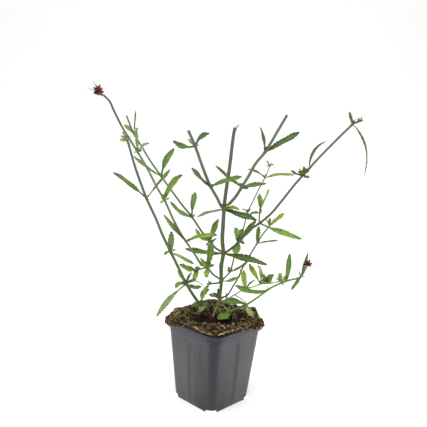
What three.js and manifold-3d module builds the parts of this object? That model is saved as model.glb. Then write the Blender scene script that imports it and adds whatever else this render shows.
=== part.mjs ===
import * as THREE from 'three';
import { mergeVertices } from 'three/addons/utils/BufferGeometryUtils.js';
import Module from 'manifold-3d';

// A young verbena in a square nursery pot, in millimetres.
// +Z is up, +X is the plant's right and +Y its back. The origin is the middle of the pot's underside.

const wasm = await Module();
wasm.setup();

// ---------------------------------------------------------------- driving dimensions

const POT_HEIGHT = 97;
const POT_TURN = THREE.MathUtils.degToRad(45.8);   // the pot stands with a corner to the front
const LIP_HALF = 45;                               // half the width over the lip
const LIP_DEEP = 7;
const LIP_SKIN = 1.1;
const LIP_OUT = 4;                                 // how far the lip stands out from the wall
const BASE_HALF = 33;
const BASE_CORNER = 9;                             // corner radius of the wall at the base
const CORNER_GROWTH = 1;                           // the corner radius grows this much up the wall
const COLLAR_FROM = 83;                            // the wall steps out a little under the lip
const COLLAR_STEP = 0.5;
const WALL = 1.2;
const FLOOR = 1.5;
const NOTCH_TALL = 3.2;                            // the cut-out under each corner of the base
const NOTCH_WIDE = 12.8;
const NOTCH_REACH = 36;                            // from the pot's axis to the notch's inner face
const DRAIN_RADIUS = 2.5;
const DRAIN_REACH = 38.5;

const GAP = 0.3;                                   // air kept between neighbours
const SOIL_OVER_LIP = 4;                           // height of the soil above the lip at the front
const SOIL_BACK_RISE = 6;                          // it is heaped this much higher at the back
const SHOULDER = { x: 38, y: 4, rise: 6, spread: 11 };
const HOLLOW = { x: -5, y: -14, deep: 4.5, halfLong: 20, halfDeep: 7 };

const STEM_STEP = 13;                              // distance between the rings of a stem
const NODE_SWELL = 0.4;                            // stems are thicker where leaves join
const NODE_HALF = 2.5;
const BLADE = 0.7;                                 // thickness of a leaf
const TOOTH_DEPTH = 0.25;                          // share of the half width
const TOOTH_PITCH = 9;
const FOLD = 0.38;                                 // how steeply each half rises from the midrib
const WAVE = 0.16;
const TO_LIGHT = 0.55;                             // how far a blade turns its upper face to the light
const LIGHT = new THREE.Vector3(-0.25, -0.75, 0.6).normalize();

const LEAF_GREEN = '#5d8c3a';
const SHADE_GREEN = '#456f30';
const STEM_GREEN = '#5c6b48';
const CALYX_MAROON = '#5a2a35';
const BUD_PINK = '#8a5a5c';
const POT_GREY = '#5b5c5e';
const PEAT_BROWN = '#4a3828';

// ---------------------------------------------------------------- the plant's skeleton

// A leaf leaves its stem on the bearing `turn` (0 is right, 90 is back), climbs at `rise` and has
// bent down through `droop` by its tip, all in degrees. `long` and `wide` are in mm, and `twist`
// rolls the blade about its midrib.
const leaf = (turn, rise, droop, long, wide, twist = 0) => ({ turn, rise, droop, long, wide, twist });

// A stem is a list of stations from root to tip: [right, back, up, ...leaves that sit there].
// `wide` is its thickness at the root and at the tip. Side stems belong to the same node.

const mainStem = [{
  wide: [3.9, 3.0],
  path: [
    [3, 3, 84],
    [3, 3, 103],
    [2, 3, 113, leaf(200, 50, 60, 11, 4), leaf(-35, 12, 75, 13, 3)],
    [4, 3, 123, leaf(150, 35, 50, 16, 7), leaf(205, 58, 20, 12, 4)],
    [6, 2, 135],
    [6, 2, 146, leaf(-25, 4, -36, 26, 7), leaf(-146, 12, 70, 27, 9)],
    [5, 2, 164, leaf(-105, 37, -23, 10, 4)],
    [6, 1, 180, leaf(-163, 1, -14, 47, 10), leaf(6, -9, 8, 55, 12)],
    [4, 0, 196],
    [4, 0, 218],
    [4, -1, 233, leaf(162, -12, 16, 35, 7), leaf(-20, -10, 4, 41, 10),
      leaf(-32, 29, 46, 18, 6), leaf(-58, 55, 50, 12, 4)],
    [5, -2, 251],
    [8, -3, 284],
    [10, -4, 315],
    [11, -5, 325],
  ],
}];

const topLeftBranch = [{
  wide: [2.8, 2.4],
  path: [
    [4, -1, 233],
    [1, -3, 236],
    [-5, -7, 247],
    [-13, -11, 260, leaf(-155, 33, -17, 32, 8), leaf(-19, 28, 14, 39, 9)],
    [-21, -17, 278],
    [-25, -21, 288],
    [-32, -27, 306, leaf(-161, -20, -60, 26, 10), leaf(24, 72, 62, 23, 7), leaf(151, 28, -26, 11, 4)],
    [-39, -31, 322],
  ],
}];

const topRightBranch = [{
  wide: [2.8, 2.4],
  path: [
    [4, -1, 233],
    [7, 1, 236],
    [16, 5, 248],
    [25, 9, 259, leaf(169, 31, -9, 40, 7), leaf(25, 11, 7, 33, 8), leaf(-41, -20, -45, 10, 4)],
    [32, 15, 272],
    [39, 20, 286],
    [52, 27, 302, leaf(-141, 69, 10, 28, 5), leaf(17, 33, 4, 47, 11), leaf(-49, 57, 25, 9, 5)],
    [65, 36, 327],
    [75, 43, 345],
  ],
}];

const midLeftBranch = [{
  wide: [2.2, 1.8],
  path: [
    [6, 1, 180],
    [2, 4, 182],
    [-4, 7, 185],
    [-11, 11, 192, leaf(-33, 71, 11, 27, 8), leaf(170, 8, -59, 23, 7), leaf(-30, 8, -38, 11, 4),
      leaf(-132, -41, 20, 7, 4)],
    [-20, 15, 201],
    [-34, 23, 218, leaf(-159, 14, -41, 34, 8), leaf(73, 93, 38, 31, 7)],
    [-46, 31, 230],
    [-61, 39, 247],
    [-75, 47, 263, leaf(-170, 28, -13, 42, 6), leaf(29, 84, 38, 39, 8)],
    [-91, 56, 282],
    [-103, 62, 299],
    [-113, 66, 313, leaf(150, 44, 17, 19, 6), leaf(-74, 68, -4, 31, 4)],
    [-124, 73, 335],
  ],
}];

const midRightBranch = [{
  wide: [2.3, 1.8],
  path: [
    [6, 1, 180],
    [10, -3, 183],
    [24, -11, 199],
    [34, -17, 211],
    [44, -23, 223, leaf(-19, -19, -9, 50, 11)],
    [56, -30, 235],
    [67, -37, 252],
    [78, -44, 270],
    [86, -50, 282, leaf(24, 90, 60, 40, 7), leaf(-113, 48, -15, 8, 4), leaf(-155, -7, -43, 20, 8),
      leaf(-60, -33, -43, 10, 4)],
    [98, -57, 299],
    [116, -69, 323],
    [127, -77, 337, leaf(116, 63, 3, 14, 5), leaf(-43, -45, 51, 54, 7)],
    [131, -79, 340],
  ],
}, {
  wide: [1.6, 1.4],
  path: [
    [44, -23, 223],
    [44, -22, 234, leaf(122, 80, 13, 24, 8), leaf(-42, 69, 0, 32, 8), leaf(-151, 80, 110, 16, 6)],
    [44, -22, 238],
  ],
}];

const lowLeftBranch = [{
  wide: [2.2, 1.6],
  path: [
    [6, 2, 146],
    [2, -1, 150],
    [-5, -4, 155],
    [-12, -7, 164, leaf(-64, 72, -4, 31, 9, -50), leaf(-153, -15, -47, 36, 12), leaf(-100, -49, -12, 19, 8),
      leaf(-145, 46, -6, 16, 5), leaf(50, 11, 4, 11, 5)],
    [-20, -10, 169],
    [-26, -15, 179],
    [-38, -21, 197, leaf(-158, 46, -6, 41, 8), leaf(-22, 32, 29, 40, 11)],
    [-47, -26, 212],
    [-53, -30, 224],
    [-63, -37, 246, leaf(-28, 79, 49, 38, 9), leaf(-112, 12, 55, 9, 4), leaf(56, 8, -17, 8, 4)],
    [-71, -42, 260],
    [-81, -48, 280],
    [-91, -53, 297, leaf(92, 74, 2, 27, 6), leaf(-32, 63, 56, 19, 6)],
    [-101, -58, 313],
    [-107, -61, 323],
    [-115, -65, 339],
    [-119, -68, 348],
    [-125, -70, 354],
  ],
}];

const lowRightBranch = [{
  wide: [1.7, 1.3],
  path: [
    [6, 2, 146],
    [9, 5, 149],
    [15, 7, 156, leaf(106, 39, -2, 8, 4), leaf(25, 14, -25, 27, 5)],
    [19, 10, 171],
    [23, 13, 193, leaf(-117, 58, -11, 20, 9), leaf(56, 57, 3, 17, 9), leaf(27, 40, -14, 32, 8),
      leaf(-104, -57, -25, 17, 9)],
    [29, 17, 209],
    [33, 21, 227, leaf(-140, 56, 60, 11, 4)],
    [39, 24, 241],
    [47, 28, 259],
    [52, 30, 269, leaf(-160, 43, 38, 26, 5), leaf(15, 22, 30, 38, 7)],
    [55, 32, 276],
    [57, 33, 283, leaf(180, 69, 15, 8, 2.5), leaf(0, 46, 44, 6, 2.5)],
  ],
}];

const basalLeftStem = [{
  wide: [2.4, 2.0],
  path: [
    [-9, 8, 86],
    [-9, 8, 97],
    [-9, 8, 105.5],
    [-12.5, 4.5, 110],
    [-18, -1, 116, leaf(-42, 82, 42, 26, 8), leaf(-78, -5, 30, 11, 8), leaf(-149, 14, 34, 12, 5),
      leaf(-33, 41, 51, 12, 5)],
    [-27, -3, 129],
    [-36, -4, 142, leaf(-139, -52, -28, 50, 10), leaf(-165, 10, 35, 19, 10), leaf(-129, 51, 0, 24, 6),
      leaf(45, 81, 49, 16, 4), leaf(35, 36, 39, 15, 5), leaf(-6, -36, -61, 19, 8)],
    [-47, -2, 162],
    [-56, 1, 178, leaf(97, 75, 8, 25, 8), leaf(-23, -14, 7, 32, 8), leaf(-135, 37, 94, 11, 5)],
    [-67, 4, 198],
    [-75, 7, 215],
    [-88, 10, 240, leaf(-165, 43, 12, 49, 9), leaf(21, 53, 4, 44, 6)],
    [-101, 13, 271],
    [-106, 14, 285],
    [-114, 16, 306, leaf(-119, 21, -57, 7, 4), leaf(66, -38, 36, 8, 4)],
    [-120, 17, 316],
  ],
}];

const backStem = [{
  wide: [1.8, 1.4],
  path: [
    [4, 3, 123],
    [9, 6, 124.5],
    [14, 9, 127],
    [21, 14, 138],
    [26, 16, 147],
    [32, 20, 161],
    [47, 27, 188, leaf(78, 60, -17, 22, 8), leaf(20, 13, 12, 29, 6)],
    [53, 31, 198],
    [62, 35, 210, leaf(19, 42, 4, 24, 8), leaf(-134, 51, 4, 11, 4), leaf(91, 63, 6, 10, 4)],
  ],
}, {
  wide: [1.8, 1.8],
  path: [[13, 8.5, 126.5], [12.5, 6, 129]],
}];

const basalRightStem = [{
  wide: [1.8, 1.4],
  path: [
    [4, 3, 123],
    [9, 0, 121.5],
    [17, -1, 127],
    [28, -2, 135],
    [34, -3, 139, leaf(101, 59, -10, 23, 8), leaf(-141, 72, 6, 27, 5), leaf(40, 45, 32, 19, 3)],
    [46, -3, 143],
    [52, -3, 146, leaf(151, 53, 1, 27, 8), leaf(-133, 100, 50, 25, 7)],
    [59, -3, 147, leaf(-49, 51, -5, 13, 12)],
    [67, -2, 148],
    [76, -1, 150, leaf(132, 34, -28, 8, 5), leaf(-61, -28, 2, 6, 4)],
  ],
}, {
  wide: [1.3, 1.2],
  path: [[22, -1, 130.5], [27, -5, 129], [34, -8, 125]],
}];

const trailingStem = [{
  wide: [2.1, 1.6],
  path: [
    [16, 2, 86],
    [16, 2, 97],
    [16, 2, 104.5],
    [18.5, -2, 109, leaf(-150, -27, -20, 19, 12)],
    [27, -8, 117],
    [36, -13, 123, leaf(-162, 28, 41, 33, 10), leaf(-46, -60, -94, 20, 8)],
    [50, -22, 137],
    [58, -27, 146, leaf(-162, -14, -50, 41, 11)],
    [64, -32, 152],
    [77, -39, 161, leaf(66, 64, -28, 31, 7)],
    [92, -44, 168, leaf(-133, -34, 5, 20, 5), leaf(53, 59, -8, 28, 4)],
    [94, -45, 171],
    [97, -45.9, 175],
    [98, -46.1, 178],
  ],
}];

// A flower head: the stem that carries it, where its middle is, half its width and half its height,
// and how many calyces it has.
const leftHead = {
  stem: lowLeftBranch[0],
  middle: [-130, -71.5, 360], half: [3.6, 4.6], calyces: 26, long: 3.4,
  florets: [[-0.45, -0.25, 0.9], [-0.95, -0.2, 0.25]],
};
const rightHead = {
  stem: trailingStem[0],
  middle: [99, -46.2, 183.5], half: [2.4, 2.9], calyces: 18, long: 2.8, florets: [],
};
const tipBuds = {
  stem: midRightBranch[0],
  middle: [133.6, -80.2, 342.2], half: [1.3, 1.6], calyces: 7, long: 2.2, florets: [],
};

const FLORET_TUBE = 5.5;
const FLORET_WIDE = 5;

// ---------------------------------------------------------------- solids

const vec = (x, y, z) => new THREE.Vector3(x, y, z);

// Repeatable draws between 0 and 1.
function seeded(seed) {
  let state = seed;
  return () => {
    state = (state * 1664525 + 1013904223) % 4294967296;
    return state / 4294967296;
  };
}

// A closed geometry becomes a solid that can be joined and cut.
function solid(geometry) {
  const bare = geometry.index ? geometry.clone() : geometry;
  bare.deleteAttribute('normal');
  bare.deleteAttribute('uv');
  const merged = mergeVertices(bare, 1e-4);
  return new wasm.Manifold(new wasm.Mesh({
    numProp: 3,
    vertProperties: Float32Array.from(merged.attributes.position.array),
    triVerts: Uint32Array.from(merged.index.array),
  }));
}

function geometryOf(body) {
  const mesh = body.getMesh();
  const geometry = new THREE.BufferGeometry();
  geometry.setAttribute('position', new THREE.BufferAttribute(Float32Array.from(mesh.vertProperties), 3));
  geometry.setIndex(Array.from(mesh.triVerts));
  return geometry;
}

function indexed(points, faces) {
  const geometry = new THREE.BufferGeometry().setFromPoints(points);
  geometry.setIndex(faces.flat());
  return geometry;
}

// Rings of equally many points, one above the other, become a closed skin with flat ends.
function stack(rings) {
  const count = rings[0].length;
  const points = rings.flat();
  const faces = [];
  for (let r = 0; r + 1 < rings.length; r += 1) {
    for (let i = 0; i < count; i += 1) {
      const a = r * count + i;
      const b = r * count + (i + 1) % count;
      faces.push([a, b, b + count], [a, b + count, a + count]);
    }
  }
  for (const [ring, base, up] of [[rings[0], 0, false], [rings.at(-1), points.length - count, true]]) {
    const hub = points.push(ring.reduce((sum, p) => sum.add(p), vec(0, 0, 0)).divideScalar(count)) - 1;
    for (let i = 0; i < count; i += 1) {
      const a = base + i;
      const b = base + (i + 1) % count;
      faces.push(up ? [a, b, hub] : [b, a, hub]);
    }
  }
  return indexed(points, faces);
}

// ---------------------------------------------------------------- pot

const cornerAt = (z) => BASE_CORNER + CORNER_GROWTH * z / POT_HEIGHT;
const wallHalf = (z) => BASE_HALF + (LIP_HALF - LIP_OUT - BASE_HALF) * z / (POT_HEIGHT - LIP_DEEP);

// A square with round corners, turned as the pot stands.
function squareShape(half, corner) {
  const flat = half - corner;
  const shape = new THREE.Shape();
  shape.absarc(flat, flat, corner, 0, Math.PI / 2);
  shape.absarc(-flat, flat, corner, Math.PI / 2, Math.PI);
  shape.absarc(-flat, -flat, corner, Math.PI, 1.5 * Math.PI);
  shape.absarc(flat, -flat, corner, 1.5 * Math.PI, 2 * Math.PI);
  return shape;
}

const turned = (point, z) => vec(point.x, point.y, z).applyAxisAngle(vec(0, 0, 1), POT_TURN);

function potRing(half, z) {
  const corner = cornerAt(z) + half - wallHalf(z);
  return squareShape(half, corner).getPoints(3).slice(0, 28).map((point) => turned(point, z));
}

const insideAt = (z) => wallHalf(z) - WALL;

function cornerBox(reach, wide, low, high) {
  const box = new THREE.BoxGeometry(wide, 20, high - low);
  return (quarter) => {
    const bearing = POT_TURN + Math.PI / 4 + quarter * Math.PI / 2;
    return solid(box.clone()
      .rotateZ(bearing - Math.PI / 2)
      .translate(Math.cos(bearing) * (reach + 10), Math.sin(bearing) * (reach + 10), (low + high) / 2));
  };
}

const QUARTERS = [0, 1, 2, 3];

function makePot() {
  const collar = wallHalf(COLLAR_FROM) + COLLAR_STEP;
  const lipLow = POT_HEIGHT - LIP_DEEP;
  const body = solid(stack([
    potRing(BASE_HALF, 0),
    potRing(wallHalf(COLLAR_FROM), COLLAR_FROM),
    potRing(collar, COLLAR_FROM + 1),
    potRing(wallHalf(lipLow) + COLLAR_STEP / 2, POT_HEIGHT),
  ]));
  const lip = solid(stack([
    potRing(LIP_HALF, lipLow),
    potRing(LIP_HALF, POT_HEIGHT - 0.6),
    potRing(LIP_HALF - 0.5, POT_HEIGHT),
  ]));
  const underLip = solid(stack([
    potRing(LIP_HALF - LIP_SKIN, lipLow - 1),
    potRing(LIP_HALF - LIP_SKIN, POT_HEIGHT - WALL),
  ])).subtract(body);
  const shelf = cornerBox(NOTCH_REACH - WALL, NOTCH_WIDE + 2 * WALL, 0, NOTCH_TALL + WALL);
  const notch = cornerBox(NOTCH_REACH, NOTCH_WIDE, -1, NOTCH_TALL);
  let inside = solid(stack([potRing(insideAt(FLOOR), FLOOR), potRing(insideAt(POT_HEIGHT), POT_HEIGHT + 1)]));
  for (const quarter of QUARTERS) inside = inside.subtract(shelf(quarter));

  let pot = body.add(lip).subtract(underLip).subtract(inside);
  for (const quarter of QUARTERS) {
    const bearing = POT_TURN + Math.PI / 4 + quarter * Math.PI / 2;
    const drain = new THREE.CylinderGeometry(DRAIN_RADIUS, DRAIN_RADIUS, 12, 12)
      .rotateX(Math.PI / 2)
      .translate(Math.cos(bearing) * DRAIN_REACH, Math.sin(bearing) * DRAIN_REACH, NOTCH_TALL);
    pot = pot.subtract(notch(quarter)).subtract(solid(drain));
  }
  return pot;
}

// ---------------------------------------------------------------- soil

const bump = (dx, dy) => Math.exp(-(dx * dx + dy * dy) / 2);

function soilHeight(x, y) {
  const back = SOIL_BACK_RISE * THREE.MathUtils.smoothstep(y, -22, 34);
  const aside = SHOULDER.spread;
  const shoulder = SHOULDER.rise * bump((x - SHOULDER.x) / aside, (y - SHOULDER.y) / aside);
  const hollow = HOLLOW.deep * bump((x - HOLLOW.x) / HOLLOW.halfLong, (y - HOLLOW.y) / HOLLOW.halfDeep);
  const lumps = 0.8 * Math.sin(0.31 * x + 1.3) * Math.cos(0.27 * y + 0.4)
    + 0.5 * Math.sin(0.53 * x - 0.41 * y) + 0.3 * Math.sin(0.87 * y + 0.23 * x);
  return POT_HEIGHT + SOIL_OVER_LIP + back + shoulder - hollow + lumps;
}

const SOIL_POINTS = 36;
const SOIL_RINGS = [0.93, 0.81, 0.66, 0.5, 0.34, 0.17];

function soilRing(half, z) {
  const corner = cornerAt(z) + half - wallHalf(z);
  const points = squareShape(half, corner).getSpacedPoints(SOIL_POINTS).slice(0, SOIL_POINTS);
  return points.map((point) => turned(point, z));
}

// The soil fills the pot, laps over the lip and is heaped above it.
function makeSoil() {
  const brim = LIP_HALF - 0.8;
  const rings = [
    soilRing(insideAt(FLOOR) - GAP - 0.1, FLOOR + GAP),
    soilRing(insideAt(POT_HEIGHT) - GAP - 0.1, POT_HEIGHT + GAP),
    soilRing(brim, POT_HEIGHT + GAP),
  ];
  const edge = soilRing(brim, POT_HEIGHT);
  edge.forEach((point, i) => {
    point.z = POT_HEIGHT + 1.6 + 0.5 * Math.sin(2.4 * i);
  });
  rings.push(edge);
  for (const share of SOIL_RINGS) {
    const ring = soilRing(brim, POT_HEIGHT).map((point) => vec(point.x * share, point.y * share, 0));
    ring.forEach((point) => {
      const settle = THREE.MathUtils.smoothstep(1 - share, 0, 0.16);
      point.z = THREE.MathUtils.lerp(POT_HEIGHT + 2.2, soilHeight(point.x, point.y), settle);
    });
    rings.push(ring);
  }
  let soil = solid(stack(rings));
  const cover = WALL + GAP;
  const shelf = cornerBox(NOTCH_REACH - cover, NOTCH_WIDE + 2 * cover, 0, NOTCH_TALL + cover);
  for (const quarter of QUARTERS) soil = soil.subtract(shelf(quarter));
  return soil;
}

const HOLE_SIDES = 10;

// A plain hole that a stem stands in.
function stemHole([x, y, z], wide) {
  const radius = wide / Math.SQRT2 / Math.cos(Math.PI / HOLE_SIDES) + 2 * GAP;
  const deep = 40;
  const hole = new THREE.CylinderGeometry(radius, radius, deep, HOLE_SIDES)
    .rotateX(Math.PI / 2)
    .translate(x, y, z - GAP + deep / 2);
  return solid(hole);
}

// ---------------------------------------------------------------- stems and leaves

// Stems are square in section, and swell where leaves join them.
function stemGeometry({ path, wide }, extra = 0) {
  const points = path.map(([x, y, z]) => vec(x, y, z));
  const curve = new THREE.CatmullRomCurve3(points, false, 'centripetal');
  const spans = points.length - 1;
  const shares = new Set([0, 1]);
  for (let i = 0; i < spans; i += 1) {
    const length = points[i].distanceTo(points[i + 1]);
    const steps = Math.max(1, Math.round(length / STEM_STEP));
    for (let k = 0; k < steps; k += 1) shares.add((i + k / steps) / spans);
    if (path[i].length > 3 && i > 0) {
      shares.add((i + NODE_HALF / length) / spans);
      shares.add((i - NODE_HALF / points[i].distanceTo(points[i - 1])) / spans);
    }
  }
  const rings = [...shares].sort((a, b) => a - b).map((share) => {
    const middle = curve.getPoint(share);
    const along = curve.getTangent(share);
    const side = along.clone().cross(vec(0, 1, 0)).normalize();
    const face = along.clone().cross(side);
    const swollen = path.some((station, i) => station.length > 3 && points[i].distanceTo(middle) < 0.5);
    const width = THREE.MathUtils.lerp(wide[0], wide[1], share) * (swollen ? 1 + NODE_SWELL : 1) + extra;
    return [[1, 1], [-1, 1], [-1, -1], [1, -1]].map(([u, v]) => middle.clone()
      .addScaledVector(side, u * width / 2)
      .addScaledVector(face, v * width / 2));
  });
  return stack(rings);
}

// A point of the midrib, the way it runs there, and the way that the upper face looks.
function midrib(root, { turn, rise, droop, long, twist }, share) {
  const rad = THREE.MathUtils.degToRad;
  const bend = Math.abs(droop) < 1 ? rad(1) : rad(droop);
  const start = rad(rise);
  const slope = start - bend * share;
  const reach = long / bend * (Math.sin(start) - Math.sin(slope));
  const climb = long / bend * (Math.cos(slope) - Math.cos(start));
  const out = vec(Math.cos(rad(turn)), Math.sin(rad(turn)), 0);
  const along = out.clone().multiplyScalar(Math.cos(slope)).setZ(Math.sin(slope));
  const level = vec(-out.y, out.x, 0);
  const lit = LIGHT.clone().projectOnPlane(along);
  const roll = Math.atan2(-lit.dot(level), lit.dot(along.clone().cross(level)));
  const side = level.applyAxisAngle(along, TO_LIGHT * roll + rad(twist));
  return {
    point: root.clone().addScaledVector(out, reach).add(vec(0, 0, climb)),
    side,
    up: along.clone().cross(side),
  };
}

const PETIOLE_SHARE = 0.14;
const PETIOLE_HALF = 0.6;

// Lance-shaped, widest about the middle, with a short stalk.
function bladeHalf(share, wide) {
  const u = Math.max(0, (share - PETIOLE_SHARE) / (1 - PETIOLE_SHARE));
  return Math.max(PETIOLE_HALF, wide / 2 * Math.sin(Math.PI * u ** 0.9) ** 0.65);
}

// A blade folded along its midrib, waved and toothed at its edges: a thin closed solid.
function leafGeometry(root, spec, phase) {
  const teeth = Math.max(2, Math.round(spec.long * (1 - PETIOLE_SHARE) / TOOTH_PITCH));
  const shares = [0, PETIOLE_SHARE];
  for (let k = 0; k < teeth; k += 1) {
    shares.push(PETIOLE_SHARE + (1 - PETIOLE_SHARE) * (k + 0.68) / teeth);
    shares.push(PETIOLE_SHARE + (1 - PETIOLE_SHARE) * (k + 1) / teeth);
  }
  const rings = shares.map((share, k) => {
    const { point, side, up } = midrib(root, spec, share);
    const notched = k > 1 && k % 2 === 1;
    const half = bladeHalf(share, spec.wide) * (notched ? 1 - TOOTH_DEPTH : 1);
    if (half > PETIOLE_HALF) point.addScaledVector(up, -half * FOLD / 2);
    const edges = [1, -1].map((hand) => {
      const lift = half > PETIOLE_HALF ? half * (FOLD + WAVE * Math.sin(9 * share + phase + hand)) : 0;
      return point.clone().addScaledVector(side, hand * half).addScaledVector(up, lift);
    });
    const ribs = [edges[0], point, edges[1]];
    const shifted = (sign) => ribs.map((p) => p.clone().addScaledVector(up, sign * BLADE / 2));
    return [...shifted(1), ...shifted(-1).reverse()];
  });
  const faces = [];
  const last = (rings.length - 1) * 6;
  for (let r = 0; r + 1 < rings.length; r += 1) {
    const a = r * 6;
    const b = a + 6;
    // The diagonals of the upper and the under face match, so that the two never cross.
    faces.push([a + 1, b + 1, b], [a + 1, b, a], [a + 1, b + 2, b + 1], [a + 1, a + 2, b + 2]);
    faces.push([a + 4, b + 5, b + 4], [a + 4, a + 5, b + 5], [a + 4, b + 4, b + 3], [a + 4, b + 3, a + 3]);
    faces.push([a + 2, a + 3, b + 3], [a + 2, b + 3, b + 2], [a + 5, a, b], [a + 5, b, b + 5]);
  }
  faces.push([1, 0, 5], [1, 5, 4], [1, 4, 3], [1, 3, 2]);
  faces.push([last + 1, last + 5, last], [last + 1, last + 4, last + 5]);
  faces.push([last + 1, last + 3, last + 4], [last + 1, last + 2, last + 3]);
  return indexed(rings.flat(), faces);
}

// One leafy stem: its stems, side stems and every leaf, grown together.
function makeShoot(stems, seed) {
  const draw = seeded(seed);
  let shoot = null;
  for (const stem of stems) {
    const body = solid(stemGeometry(stem));
    shoot = shoot ? shoot.add(body) : body;
    for (const [x, y, z, ...leaves] of stem.path) {
      for (const spec of leaves) {
        shoot = shoot.add(solid(leafGeometry(vec(x, y, z), spec, 6 * draw())));
      }
    }
  }
  return shoot;
}

// ---------------------------------------------------------------- flower heads

// A point that looks along `way` from `from`.
function along(geometry, from, way) {
  const turn = new THREE.Quaternion().setFromUnitVectors(vec(0, 1, 0), way.clone().normalize());
  return geometry.applyQuaternion(turn).translate(from.x, from.y, from.z);
}

function lobedDisc(wide, lobes) {
  const shape = new THREE.Shape();
  for (let i = 0; i < 3 * lobes; i += 1) {
    const bearing = 2 * Math.PI * i / (3 * lobes);
    const radius = i % 3 === 0 ? 0.22 * wide : 0.5 * wide;
    shape[i ? 'lineTo' : 'moveTo'](radius * Math.cos(bearing), radius * Math.sin(bearing));
  }
  return new THREE.ExtrudeGeometry(shape, { depth: 0.7, bevelEnabled: false }).rotateX(-Math.PI / 2);
}

// Tubular calyces crowd a small core, and a few florets stand out of them.
function makeHead({ stem, middle, half, calyces, long, florets }) {
  const heart = vec(...middle);
  const core = new THREE.IcosahedronGeometry(1, 0).scale(half[0], half[0], half[1]).translate(...middle);
  const down = vec(...stem.path.at(-1)).sub(heart);
  const reach = down.length() - GAP;
  const stalk = new THREE.CylinderGeometry(0.45 * stem.wide[1], 1, reach, 6).translate(0, reach / 2, 0);
  let head = solid(core).add(solid(along(stalk, heart, down)));
  for (let i = 0; i < calyces; i += 1) {
    const height = 1 - 1.75 * (i + 0.5) / calyces;
    const bearing = i * Math.PI * (3 - Math.sqrt(5));
    const flat = Math.sqrt(1 - height * height);
    const way = vec(Math.cos(bearing) * flat, Math.sin(bearing) * flat, height);
    const foot = vec(way.x * half[0], way.y * half[0], way.z * half[1]).multiplyScalar(0.75).add(heart);
    const upward = way.clone().add(vec(0, 0, 0.35));
    const calyx = new THREE.CylinderGeometry(0.42, 0.68, long, 4).translate(0, long / 2, 0);
    head = head.add(solid(along(calyx, foot, upward)));
  }
  for (const [x, y, z] of florets) {
    const way = vec(x, y, z).normalize();
    const tube = new THREE.CylinderGeometry(0.7, 0.5, half[1] + FLORET_TUBE, 6)
      .translate(0, (half[1] + FLORET_TUBE) / 2, 0);
    const face = lobedDisc(FLORET_WIDE, 5).translate(0, half[1] + FLORET_TUBE - 0.6, 0);
    head = head.add(solid(along(tube, heart, way))).add(solid(along(face, heart, way)));
  }
  return head;
}

// ---------------------------------------------------------------- assembly

const plant = new THREE.Group();

function piece(name, body, color, roughness = 0.6) {
  const material = new THREE.MeshStandardMaterial({ color, roughness, metalness: 0 });
  const mesh = new THREE.Mesh(geometryOf(body), material);
  mesh.name = name;
  plant.add(mesh);
}

// Branches spring from the main stem, and stop a hair's breadth outside it.
const aroundMain = solid(stemGeometry(mainStem[0], 2 * GAP));
const branch = (stems, seed) => makeShoot(stems, seed).subtract(aroundMain);

piece('pot', makePot(), POT_GREY, 0.5);

const rooted = [mainStem, basalLeftStem, trailingStem];
const soil = rooted.reduce((body, [stem]) => body.subtract(stemHole(stem.path[0], stem.wide[0])), makeSoil());
piece('soil', soil, PEAT_BROWN, 0.95);

piece('stem_main', makeShoot(mainStem, 11), STEM_GREEN);
piece('stem_basal_left', makeShoot(basalLeftStem, 12), SHADE_GREEN);
piece('stem_trailing', makeShoot(trailingStem, 13), LEAF_GREEN);
piece('stem_basal_right', branch(basalRightStem, 14), LEAF_GREEN);
piece('stem_back', branch(backStem, 15), LEAF_GREEN);
piece('branch_low_left', branch(lowLeftBranch, 16), LEAF_GREEN);
piece('branch_low_right', branch(lowRightBranch, 17), LEAF_GREEN);
piece('branch_mid_left', branch(midLeftBranch, 18), LEAF_GREEN);
piece('branch_mid_right', branch(midRightBranch, 19), LEAF_GREEN);
piece('branch_top_left', branch(topLeftBranch, 20), SHADE_GREEN);
piece('branch_top_right', branch(topRightBranch, 21), SHADE_GREEN);
piece('flower_head_left', makeHead(leftHead), CALYX_MAROON);
piece('flower_head_right', makeHead(rightHead), CALYX_MAROON);
piece('flower_buds_tip', makeHead(tipBuds), BUD_PINK);

export default plant;
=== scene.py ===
# %% [markdown]
# # A young verbena in a square nursery pot
# The model is a potted plant: a thin plastic pot, a heap of fibrous peat, eleven leafy stems and three
# flower heads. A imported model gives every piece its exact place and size. This notebook gives each piece
# its real surface and its fine parts, one piece at a time, and never moves or resizes anything.

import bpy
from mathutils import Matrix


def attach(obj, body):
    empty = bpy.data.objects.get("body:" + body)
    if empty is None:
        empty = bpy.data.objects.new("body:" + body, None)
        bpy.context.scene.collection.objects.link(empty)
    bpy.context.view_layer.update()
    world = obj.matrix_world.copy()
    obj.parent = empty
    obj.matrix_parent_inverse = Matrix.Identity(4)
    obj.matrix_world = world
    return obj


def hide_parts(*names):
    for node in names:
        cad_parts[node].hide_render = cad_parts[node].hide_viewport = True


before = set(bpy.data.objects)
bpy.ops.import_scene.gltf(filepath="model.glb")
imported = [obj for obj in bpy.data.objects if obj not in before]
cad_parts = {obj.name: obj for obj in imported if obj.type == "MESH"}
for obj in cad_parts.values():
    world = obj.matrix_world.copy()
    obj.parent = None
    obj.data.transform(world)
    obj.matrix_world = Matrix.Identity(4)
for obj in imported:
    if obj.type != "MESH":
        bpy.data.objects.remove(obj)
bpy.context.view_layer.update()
print("nodes:", ", ".join(sorted(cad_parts)))

# %% [markdown]
# ## Units and small helpers
# All sizes below are in millimetres, and a mesh becomes metres when its piece is finished. An operator
# works on whatever is selected, so `choose` first clears the selection and then selects only what is
# named. `added` does this before a new primitive, and `pick` does it for the parts of a mesh in edit
# mode.

# %% Units, selection and modifiers
import math
import random

import bmesh
import bpy
import numpy as np
from mathutils import Matrix, Vector, noise

MM = 0.001


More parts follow.
